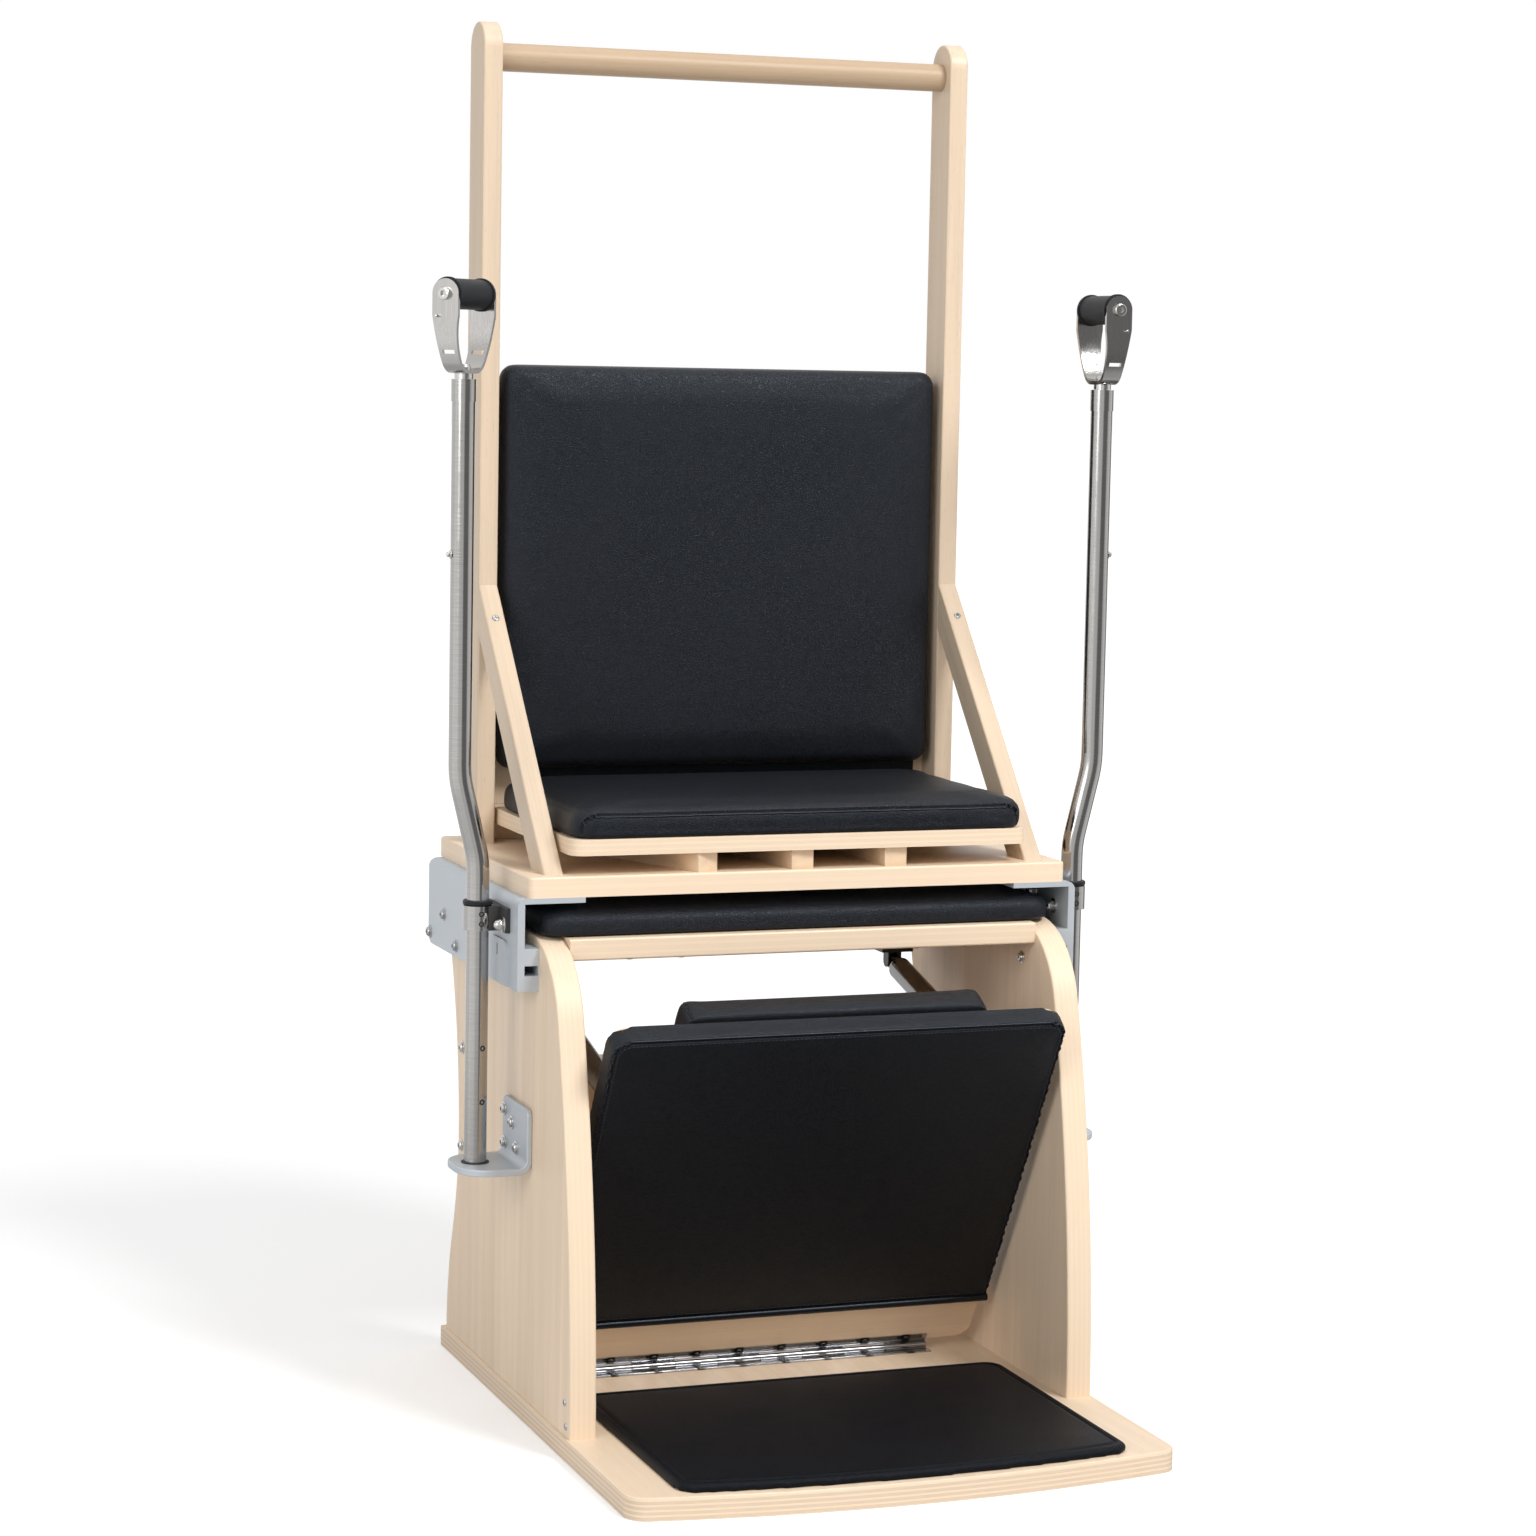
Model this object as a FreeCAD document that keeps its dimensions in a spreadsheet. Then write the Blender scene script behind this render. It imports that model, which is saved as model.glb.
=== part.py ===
"""High-back pilates chair: plywood box, sprung pedal, padded bench and two handle poles.

The origin lies on the base board's underside, on its centre line. X runs across the chair,
the front faces -Y and Z is up. All lengths are millimetres and all angles degrees.
"""
import FreeCAD, Part
import math
import os

import Sketcher

V = FreeCAD.Vector

# Every driving size, in the order in which the pieces are made.
SIZES = {
    # shared fits
    "running_gap": 0.05,
    "rest_gap": 0.3,
    "cut_over": 5.0,
    "board_edge": 2.5,
    # base board and the mat on it
    "base_wide": 620.0,
    "base_thick": 24.0,
    "base_back": 369.5,
    "base_front": 353.5,
    "base_bow": 30.0,
    "base_corner": 24.0,
    "base_pad_wide": 510.0,
    "base_pad_deep": 359.0,
    "base_pad_thick": 9.0,
    "base_pad_bow": 20.0,
    "base_pad_corner": 24.0,
    "base_pad_roll": 5.0,
    "base_pad_margin": 1.0,
    # side panels
    "panel_gap": 553.4,
    "panel_thick": 30.0,
    "panel_front": 138.5,
    "panel_foot": 495.0,
    "panel_tall": 523.0,
    "panel_lean": 62.0,
    "panel_lean_tall": 446.0,
    "panel_top": 500.0,
    "panel_heel": 44.0,
    "panel_waist": 50.0,
    "panel_waist_tall": 246.0,
    # chair seat and the rails that tie the panels together
    "seat_thick": 24.0,
    "seat_setback": 116.7,
    "seat_deep": 378.0,
    "chair_cushion_wide": 606.0,
    "chair_cushion_setback": 128.0,
    "chair_cushion_deep": 362.0,
    "chair_cushion_tall": 36.0,
    "chair_cushion_corner": 24.0,
    "chair_cushion_room": 1.8,
    "rail_tall": 50.0,
    "rail_thick": 30.0,
    "rail_inset": 50.0,
    "tie_tall": 115.0,
    "tie_thick": 20.0,
    "tie_rise": 216.0,
    "tie_inset": 5.0,
    # extruded side brackets that carry the bench
    "bracket_short": 1.0,
    "bracket_tall": 101.8,
    "bracket_wall": 8.0,
    "bracket_bend": 10.0,
    "bracket_corner": 14.0,
    "flange_thick": 6.0,
    "flange_reach": 76.7,
    "box_wide": 17.0,
    "box_tall": 47.0,
    "channel_tall": 11.0,
    "channel_rise": 17.0,
    "channel_skin": 1.5,
    "cover_deep": 64.0,
    "cover_tall": 50.0,
    "cover_thick": 2.5,
    "cover_corner": 12.0,
    "cover_slot_tall": 12.0,
    "cover_slot_wide": 4.0,
    "cover_slot_drop": 7.0,
    # high-back bench
    "bench_wide": 638.0,
    "bench_deep": 370.0,
    "bench_thick": 23.0,
    "bench_setback": 132.0,
    "bench_corner": 8.0,
    "riser_wide": 27.0,
    "riser_tall": 22.0,
    "riser_long": 268.0,
    "riser_pitch": 112.0,
    "riser_inset": 7.0,
    "riser_left_angle": 21.0,
    "riser_mid_angle": 7.0,
    "riser_right_angle": 4.0,
    "bench_seat_wide": 542.0,
    "bench_seat_deep": 311.0,
    "bench_seat_thick": 18.0,
    "bench_seat_corner": 16.0,
    "bench_cushion_wide": 538.0,
    "bench_cushion_deep": 302.0,
    "bench_cushion_tall": 42.0,
    "bench_cushion_corner": 26.0,
    "bench_cushion_ahead": 2.0,
    "upright_gap": 550.6,
    "upright_wide": 22.6,
    "upright_deep": 57.4,
    "upright_tall": 940.5,
    "upright_inset": 24.5,
    "dowel_radius": 16.0,
    "dowel_drop": 39.0,
    "brace_rise": 300.0,
    "brace_run": 271.5,
    "brace_mitre": 57.0,
    "back_board_thick": 18.0,
    "back_board_tall": 496.0,
    "back_board_rise": 42.0,
    "back_cushion_wide": 537.0,
    "back_cushion_tall": 468.0,
    "back_cushion_thick": 46.0,
    "back_cushion_corner": 18.0,
    "back_cushion_lift": 3.0,
    # cushion edge: how far the sides roll in and the top rises
    "cushion_roll": 12.0,
    "cushion_crown": 5.0,
    # piano hinge
    "hinge_setback": 247.0,
    "hinge_long": 416.0,
    "hinge_lift": 0.4,
    "knuckle_radius": 4.0,
    "knuckle_gap": 0.6,
    "hinge_pin_radius": 2.5,
    "leaf_thick": 1.5,
    "base_leaf_wide": 19.0,
    "pedal_leaf_wide": 14.0,
    # pedal
    "pedal_lean_angle": 30.0,
    "pedal_wide": 524.0,
    "pedal_thick": 15.0,
    "pedal_start": 6.0,
    "pedal_long": 488.0,
    "pedal_corner": 18.0,
    "pedal_pad_start": 64.0,
    "pedal_pad_over": 4.0,
    "pedal_pad_front": 14.0,
    "pedal_pad_corner": 22.0,
    "pedal_pad_roll": 6.0,
    "toe_pad_wide": 360.0,
    "toe_pad_tall": 116.0,
    "toe_pad_thick": 43.0,
    "toe_pad_rise": 6.0,
    "toe_pad_roll": 15.0,
    # spring struts between the rear rail and the back of the pedal
    "strut_apart": 460.0,
    "lug_along": 375.5,
    "clevis_stand": 16.2,
    "clevis_cheek": 4.0,
    "clevis_round": 8.0,
    "clevis_plate_wide": 40.0,
    "clevis_plate_deep": 34.0,
    "clevis_plate_thick": 4.0,
    "pivot_radius": 4.0,
    "eye_radius": 9.5,
    "eye_thick": 8.0,
    "eye_side_gap": 0.5,
    "tube_radius": 14.0,
    "tube_wall": 2.0,
    "tube_start": 20.0,
    "tube_dome": 7.0,
    "tube_short": 21.0,
    "neck_radius": 6.0,
    "rod_radius": 4.5,
    "rod_start": 30.0,
    # handle poles and what holds them
    "pole_radius": 12.5,
    "pole_wall": 2.0,
    "pole_apart": 716.0,
    "pole_setback": 199.0,
    "pole_bend_gap": 35.0,
    "pole_offset": 22.0,
    "pole_bend_radius": 120.0,
    "pole_bend_angle": 13.5,
    "pole_upper_long": 419.0,
    "sleeve_step": 0.8,
    "sleeve_tall": 24.0,
    "collar_wall": 3.7,
    "collar_tall": 27.0,
    "collar_drop": 14.6,
    "stop_ring_wide": 4.0,
    "stop_ring_tall": 5.7,
    "stop_ring_bevel": 1.2,
    "clamp_deep": 28.0,
    "clamp_flange": 5.0,
    "clamp_flange_deep": 76.0,
    "lower_rise": 257.0,
    "lower_wide": 97.0,
    "lower_tall": 73.0,
    "lower_plate_thick": 6.0,
    "lower_plate_corner": 9.0,
    "lower_bend": 9.0,
    "lower_end": 27.0,
    "lower_corner": 38.0,
    "shelf_thick": 8.0,
    "shelf_edge": 1.6,
    "bush_wall": 3.0,
    "bush_lip": 1.0,
    # swivelling yokes and their grips
    "yoke_wide": 32.0,
    "yoke_tip_wide": 22.0,
    "yoke_span": 81.0,
    "yoke_strap": 4.0,
    "yoke_flat": 23.0,
    "yoke_bow_tall": 62.0,
    "yoke_bow_angle": 30.0,
    "yoke_foot": 16.0,
    "yoke_round_flat": 0.2,
    "yoke_slot_long": 15.0,
    "yoke_slot_tall": 4.0,
    "yoke_slot_rise": 21.0,
    "yoke_left_angle": 44.0,
    "yoke_right_angle": -90.0,
    "stem_radius": 6.0,
    "stem_long": 25.0,
    "stem_neck_radius": 10.0,
    "stem_neck_tall": 6.0,
    "stem_nut_radius": 7.6,
    "stem_nut_tall": 6.0,
    "grip_radius": 16.5,
    "grip_rim_radius": 18.0,
    "grip_rim_thick": 3.0,
    "axle_radius": 4.0,
    "axle_head_radius": 7.0,
    "axle_head_tall": 5.0,
}

# Counts and hand-chosen shares.
KNUCKLE_PAIRS = 4
CUSHION_RISE_SHARES = (0.0, 0.22, 0.52, 0.8, 0.94, 1.0)
CUSHION_INSET_SHARES = (0.45, 0.1, 0.0, 0.22, 0.62, 1.25)
CROWN_RISE_SHARES = (0.75, 1.0)
CROWN_INSET_SHARES = (3.0, 6.5)

doc = FreeCAD.newDocument("pilates_chair")
nodes = []


class Size:
    """A length, angle or ratio that carries its number and the sheet formula behind it."""

    def __init__(self, number, formula):
        self.number = float(number)
        self.formula = formula

    @staticmethod
    def of(value):
        """Return value as a Size; a plain count or zero becomes a constant."""
        return value if isinstance(value, Size) else Size(value, "(%r)" % float(value))

    def __add__(self, other):
        other = Size.of(other)
        return Size(self.number + other.number, "(%s + %s)" % (self.formula, other.formula))

    def __radd__(self, other):
        return Size.of(other) + self

    def __sub__(self, other):
        other = Size.of(other)
        return Size(self.number - other.number, "(%s - %s)" % (self.formula, other.formula))

    def __rsub__(self, other):
        return Size.of(other) - self

    def __mul__(self, other):
        other = Size.of(other)
        return Size(self.number * other.number, "(%s * %s)" % (self.formula, other.formula))

    def __rmul__(self, other):
        return Size.of(other) * self

    def __truediv__(self, other):
        other = Size.of(other)
        return Size(self.number / other.number, "(%s / %s)" % (self.formula, other.formula))

    def __neg__(self):
        return Size(-self.number, "(-%s)" % self.formula)


def sine(angle):
    """Sine of an angle in degrees."""
    return Size(math.sin(math.radians(angle.number)), "sin(%s)" % angle.formula)


def cosine(angle):
    """Cosine of an angle in degrees."""
    return Size(math.cos(math.radians(angle.number)), "cos(%s)" % angle.formula)


def arc_tangent(ratio):
    """Angle in degrees whose tangent is ratio."""
    return Size(math.degrees(math.atan(ratio.number)), "(atan(%s) / 1 deg)" % ratio.formula)


def root(value):
    """Square root."""
    return Size(math.sqrt(value.number), "sqrt(%s)" % value.formula)


def bow_radius(chord, rise):
    """Radius of the arc that spans chord and stands rise above it."""
    return (chord * chord / 4 + rise * rise) / (2 * rise)


class Sheet:
    """The document's sheet of driving sizes, read as attributes."""

    def __init__(self, table):
        self._table = table
        cells = doc.addObject("Spreadsheet::Sheet", "Sizes")
        for row, (alias, number) in enumerate(table.items(), start=1):
            cells.set("A%d" % row, alias)
            cells.set("B%d" % row, "%r" % number)
            cells.setAlias("B%d" % row, alias)
        doc.recompute()

    def __getattr__(self, alias):
        return Size(self._table[alias], "Sizes.%s" % alias)


size = Sheet(SIZES)


class Corner:
    """One corner of an outline; the edge that leaves it may be an arc.

    radius is the arc's radius, and left says that its centre lies on the left of the way
    from this corner to the next.
    """

    def __init__(self, x, y, radius=None, left=True):
        self.x = Size.of(x)
        self.y = Size.of(y)
        self.radius = radius
        self.left = left


def bind(thing, name, value):
    """Tie a property of thing to a size."""
    thing.setExpression(name, Size.of(value).formula)


def new_body(label):
    """Start a sub-part."""
    body = doc.addObject("PartDesign::Body", label)
    body.Label = label
    return body


def keep(thing):
    """Put a finished sub-part on the list of nodes."""
    nodes.append(thing)
    return thing


def sketch_on(body, name, role, lift=None):
    """A sketch on one of the body's own origin planes, lifted along the plane's normal."""
    sketch = body.newObject("Sketcher::SketchObject", "%s_%s" % (body.Name, name))
    plane = next(item for item in body.Origin.OriginFeatures if item.Role == role)
    sketch.AttachmentSupport = [(plane, "")]
    sketch.MapMode = "FlatFace"
    if lift is not None:
        bind(sketch, "AttachmentOffset.Base.z", lift)
    return sketch


def fix_point(sketch, geometry, position, x, y):
    """Tie a sketch point's two coordinates to sizes."""
    for kind, value in (("DistanceX", x), ("DistanceY", y)):
        if value.number == 0.0 and value.formula == "(0.0)":
            axis = -2 if kind == "DistanceX" else -1
            sketch.addConstraint(Sketcher.Constraint("PointOnObject", geometry, position, axis))
        else:
            index = sketch.addConstraint(
                Sketcher.Constraint(kind, -1, 1, geometry, position, value.number))
            bind(sketch, "Constraints[%d]" % index, value)


def arc_between(start, end, radius, left):
    """The shorter arc from start to end, and which of its ends is the start."""
    middle = (start + end) * 0.5
    along = end - start
    half = along.Length / 2
    side = V(-along.y, along.x, 0).normalize()
    reach = math.sqrt(max(radius * radius - half * half, 0.0))
    centre = middle + side * (reach if left else -reach)
    first, last = (start, end) if left else (end, start)
    angles = [math.atan2(point.y - centre.y, point.x - centre.x) for point in (first, last)]
    circle = Part.Circle(centre, V(0, 0, 1), radius)
    return Part.ArcOfCircle(circle, angles[0], angles[1]), (1 if left else 2)


def draw(sketch, corners):
    """Draw a closed outline of lines and arcs, with every corner tied to its sizes."""
    count = len(corners)
    edges = []
    for index, corner in enumerate(corners):
        after = corners[(index + 1) % count]
        start = V(corner.x.number, corner.y.number, 0)
        end = V(after.x.number, after.y.number, 0)
        if corner.radius is None:
            edges.append((sketch.addGeometry(Part.LineSegment(start, end)), 1))
        else:
            arc, first = arc_between(start, end, corner.radius.number, corner.left)
            edges.append((sketch.addGeometry(arc), first))
    for index, (geometry, first) in enumerate(edges):
        after, after_first = edges[(index + 1) % count]
        sketch.addConstraint(
            Sketcher.Constraint("Coincident", geometry, 3 - first, after, after_first))
    for corner, (geometry, first) in zip(corners, edges):
        fix_point(sketch, geometry, first, corner.x, corner.y)
        if corner.radius is not None:
            index = sketch.addConstraint(
                Sketcher.Constraint("Radius", geometry, corner.radius.number))
            bind(sketch, "Constraints[%d]" % index, corner.radius)


def draw_circle(sketch, x, y, radius):
    """Draw a circle whose centre and radius follow sizes."""
    x, y, radius = Size.of(x), Size.of(y), Size.of(radius)
    circle = Part.Circle(V(x.number, y.number, 0), V(0, 0, 1), radius.number)
    geometry = sketch.addGeometry(circle)
    fix_point(sketch, geometry, 3, x, y)
    index = sketch.addConstraint(Sketcher.Constraint("Radius", geometry, radius.number))
    bind(sketch, "Constraints[%d]" % index, radius)


def rectangle(left, right, low, high):
    """The four corners of a rectangle, anticlockwise."""
    return [Corner(left, low), Corner(right, low), Corner(right, high), Corner(left, high)]


def pad(body, name, sketch, length):
    """Extrude a sketch along its normal."""
    feature = body.newObject("PartDesign::Pad", "%s_%s" % (body.Name, name))
    feature.Profile = sketch
    bind(feature, "Length", length)
    return feature


def pocket(body, name, sketch, length, reverse=False):
    """Cut a sketch's outline out of the body, against the sketch's normal or along it."""
    feature = body.newObject("PartDesign::Pocket", "%s_%s" % (body.Name, name))
    feature.Profile = sketch
    feature.Reversed = reverse
    bind(feature, "Length", length)
    return feature


def revolve(body, name, sketch, axis):
    """Turn a sketch once round its own vertical or horizontal axis."""
    feature = body.newObject("PartDesign::Revolution", "%s_%s" % (body.Name, name))
    feature.Profile = sketch
    feature.ReferenceAxis = (sketch, [axis])
    feature.Angle = 360.0
    return feature


def round_edges(body, name, radius, chosen):
    """Round the edges of the body's last feature that chosen picks."""
    doc.recompute()
    base = body.Tip
    names = ["Edge%d" % index for index, edge in enumerate(base.Shape.Edges, start=1)
             if chosen(edge)]
    feature = body.newObject("PartDesign::Fillet", "%s_%s" % (body.Name, name))
    feature.Base = (base, names)
    bind(feature, "Radius", radius)
    return feature


def edge_direction(edge):
    """Unit direction of a straight edge, or None."""
    if not isinstance(edge.Curve, (Part.Line, Part.LineSegment)):
        return None
    return (edge.Vertexes[-1].Point - edge.Vertexes[0].Point).normalize()


def runs_along(edge, axis):
    """True where a straight edge lies along axis."""
    way = edge_direction(edge)
    return way is not None and abs(way.dot(axis)) > 0.999


def lies_at(edge, axis, place):
    """True where every point of an edge has this coordinate along axis."""
    box = edge.BoundBox
    low, high = {"x": (box.XMin, box.XMax), "y": (box.YMin, box.YMax), "z": (box.ZMin, box.ZMax)}[axis]
    return abs(low - place.number) < 0.01 and abs(high - place.number) < 0.01


def slab(label, outline, low, high):
    """A level board: an outline in plan between two heights."""
    body = new_body(label)
    sketch = sketch_on(body, "outline", "XY_Plane", low)
    draw(sketch, outline)
    pad(body, "board", sketch, high - low)
    return body


def side_profile(label, outline, left, right):
    """A piece with one outline in the YZ plane between two places across the chair."""
    body = new_body(label)
    sketch = sketch_on(body, "outline", "YZ_Plane", left)
    draw(sketch, outline)
    pad(body, "board", sketch, right - left)
    return body


def ring(label, x, y, low, high, outer, inner):
    """An upright ring."""
    body = new_body(label)
    sketch = sketch_on(body, "outline", "XY_Plane", low)
    draw_circle(sketch, x, y, outer)
    draw_circle(sketch, x, y, inner)
    pad(body, "ring", sketch, high - low)
    return body


def mirrored(source, label):
    """The right-hand twin of a left-hand piece."""
    twin = doc.addObject("Part::Mirroring", label)
    twin.Label = label
    twin.Source = source
    twin.Normal = V(1, 0, 0)
    twin.Base = V(0, 0, 0)
    return keep(twin)


def pair(source, stem):
    """Keep a left-hand piece and add its right-hand twin."""
    keep(source)
    mirrored(source, "%s_right" % stem)


def place(thing, x, y, z, axis=None, angle=None):
    """Tie a sub-part's placement to sizes."""
    if axis is not None:
        thing.Placement = FreeCAD.Placement(V(0, 0, 0), FreeCAD.Rotation(axis, angle.number))
        bind(thing, "Placement.Rotation.Angle", angle)
    for name, value in (("x", x), ("y", y), ("z", z)):
        bind(thing, "Placement.Base.%s" % name, value)


def rounded_outline(across, along, corner):
    """A rectangle with quarter-round corners, centred on the origin."""
    return [
        Corner(corner - across, -along), Corner(across - corner, -along, corner, True),
        Corner(across, corner - along), Corner(across, along - corner, corner, True),
        Corner(across - corner, along), Corner(corner - across, along, corner, True),
        Corner(-across, along - corner), Corner(-across, corner - along, corner, True),
    ]


def cushion(label, wide, deep, tall, corner):
    """A stuffed cushion with drawn-in sides, rolled edges and a crown, standing on z = 0."""
    body = new_body(label)
    roll, crown = size.cushion_roll, size.cushion_crown
    rises = [(tall - crown) * share for share in CUSHION_RISE_SHARES]
    rises += [tall - crown + crown * share for share in CROWN_RISE_SHARES]
    insets = [roll * share for share in CUSHION_INSET_SHARES + CROWN_INSET_SHARES]
    sections = []
    for number, (rise, inset) in enumerate(zip(rises, insets)):
        section = sketch_on(body, "section_%d" % number, "XY_Plane", rise)
        draw(section, rounded_outline(wide / 2 - inset, deep / 2 - inset, corner))
        sections.append(section)
    loft = body.newObject("PartDesign::AdditiveLoft", "%s_loft" % label)
    loft.Profile = sections[0]
    loft.Sections = sections[1:]
    loft.Ruled = True
    return keep(body)


X_WAY = V(1, 0, 0)
Y_WAY = V(0, 1, 0)
Z_WAY = V(0, 0, 1)
RIGHT_ANGLE = Size.of(90)

# Levels and lines that several pieces share.
panel_inner = size.panel_gap / 2
panel_outer = panel_inner + size.panel_thick
foot_y = -size.panel_front
seat_top = size.base_thick + size.panel_tall
flange_low = seat_top + size.chair_cushion_tall + size.chair_cushion_room
bench_low = flange_low + size.flange_thick
bench_top = bench_low + size.bench_thick
bench_seat_low = bench_top + size.riser_tall
bench_seat_top = bench_seat_low + size.bench_seat_thick
bench_front = foot_y + size.bench_setback
bench_back = bench_front + size.bench_deep
web_outer = panel_outer + size.box_wide + size.bracket_wall
bracket_low = bench_low - size.bracket_tall
bracket_back = bench_back - size.bracket_short
bracket_long = bracket_back - bench_front
pole_x = -size.pole_apart / 2
pole_y = foot_y + size.pole_setback
collar_top = bench_low - size.collar_drop
collar_low = collar_top - size.collar_tall
collar_outer = size.pole_radius + size.running_gap + size.collar_wall
upright_back = bench_back - size.upright_inset
upright_front = upright_back - size.upright_deep
upright_inner = size.upright_gap / 2
hinge_y = foot_y + size.hinge_setback
hinge_z = size.base_thick + size.knuckle_radius + size.hinge_lift
board_front = size.knuckle_radius + size.hinge_lift
board_back = board_front + size.pedal_thick
pedal_top = size.pedal_start + size.pedal_long


def pedal_world(back, along):
    """World Y and Z of a point on the leaning pedal, given back of and along from its hinge."""
    lean = size.pedal_lean_angle
    return (hinge_y + back * cosine(lean) - along * sine(lean),
            hinge_z + back * sine(lean) + along * cosine(lean))


def lean_with_pedal(thing):
    """Stand a piece that was made in the pedal's own frame on the hinge, leaning forward."""
    place(thing, 0, hinge_y, hinge_z, X_WAY, size.pedal_lean_angle)


def bowed_outline(wide, back, front, bow):
    """A board in plan whose front edge bows forward."""
    half = wide / 2
    return [Corner(half, back), Corner(-half, back),
            Corner(-half, front, bow_radius(wide, bow), True), Corner(half, front)]


def make_base():
    """The plywood base board with its bowed front, and the mat let onto it."""
    base = slab("base_board", bowed_outline(size.base_wide, size.base_back, -size.base_front, size.base_bow),
                Size.of(0), size.base_thick)
    round_edges(base, "front_corners", size.base_corner,
                lambda edge: runs_along(edge, Z_WAY) and edge.BoundBox.YMax < 0)
    round_edges(base, "top_edge", size.board_edge, lambda edge: lies_at(edge, "z", size.base_thick))
    keep(base)

    front = -size.base_front + size.base_pad_margin
    mat = slab("base_pad", bowed_outline(size.base_pad_wide, front + size.base_pad_deep, front,
                                         size.base_pad_bow),
               size.base_thick, size.base_thick + size.base_pad_thick)
    round_edges(mat, "corners", size.base_pad_corner, lambda edge: runs_along(edge, Z_WAY))
    round_edges(mat, "roll", size.base_pad_roll,
                lambda edge: lies_at(edge, "z", size.base_thick + size.base_pad_thick))
    keep(mat)


def make_panels():
    """The two side panels: a swept front edge, a round shoulder and a waisted back edge."""
    low = size.base_thick
    knee_y = foot_y + size.panel_lean
    knee_z = low + size.panel_lean_tall
    sweep = bow_radius(2 * size.panel_lean_tall, size.panel_lean)
    tilt = 2 * arc_tangent(size.panel_lean / size.panel_lean_tall)
    shoulder = (seat_top - knee_z) / (1 - sine(tilt))
    top_back = foot_y + size.panel_top
    waist_y = top_back - size.panel_waist
    waist_z = low + size.panel_waist_tall
    heel_z = seat_top - size.panel_heel
    upper = bow_radius(2 * (heel_z - waist_z), size.panel_waist)
    toe_y = foot_y + size.panel_foot
    lower = bow_radius(2 * size.panel_waist_tall, toe_y - waist_y) / 2
    outline = [
        Corner(toe_y, low, lower, True),
        Corner((toe_y + waist_y) / 2, low + size.panel_waist_tall / 2, lower, False),
        Corner(waist_y, waist_z, upper, False),
        Corner(top_back, heel_z),
        Corner(top_back, seat_top),
        Corner(knee_y + shoulder * cosine(tilt), seat_top, shoulder, True),
        Corner(knee_y, knee_z, sweep, True),
        Corner(foot_y, low),
    ]
    panel = side_profile("side_panel_left", outline, -panel_outer, -panel_inner)
    round_edges(panel, "edges", size.board_edge,
                lambda edge: (lies_at(edge, "x", -panel_outer) or lies_at(edge, "x", -panel_inner))
                and edge.BoundBox.ZMax > knee_z.number - 1 and edge.BoundBox.YMin < knee_y.number + 1
                and not runs_along(edge, Y_WAY))
    pair(panel, "side_panel")

    front = foot_y + size.seat_setback
    seat = slab("chair_seat_board", rectangle(-panel_inner, panel_inner, front, front + size.seat_deep),
                seat_top - size.seat_thick, seat_top)
    round_edges(seat, "front_edge", size.board_edge,
                lambda edge: lies_at(edge, "y", front) and runs_along(edge, X_WAY))
    keep(seat)

    back = front + size.seat_deep - size.rail_inset
    seat_low = seat_top - size.seat_thick
    keep(slab("rear_rail", rectangle(-panel_inner, panel_inner, back - size.rail_thick, back),
              seat_low - size.rail_tall, seat_low))
    tie_back = waist_y - size.tie_inset
    tie_low = low + size.tie_rise
    keep(slab("tie_board", rectangle(-panel_inner, panel_inner, tie_back - size.tie_thick, tie_back),
              tie_low, tie_low + size.tie_tall))

    seat_cushion = cushion("chair_seat_cushion", size.chair_cushion_wide, size.chair_cushion_deep,
                           size.chair_cushion_tall, size.chair_cushion_corner)
    place(seat_cushion, 0, foot_y + size.chair_cushion_setback + size.chair_cushion_deep / 2, seat_top)
    return back - size.rail_thick / 2, seat_low - size.rail_tall


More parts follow.
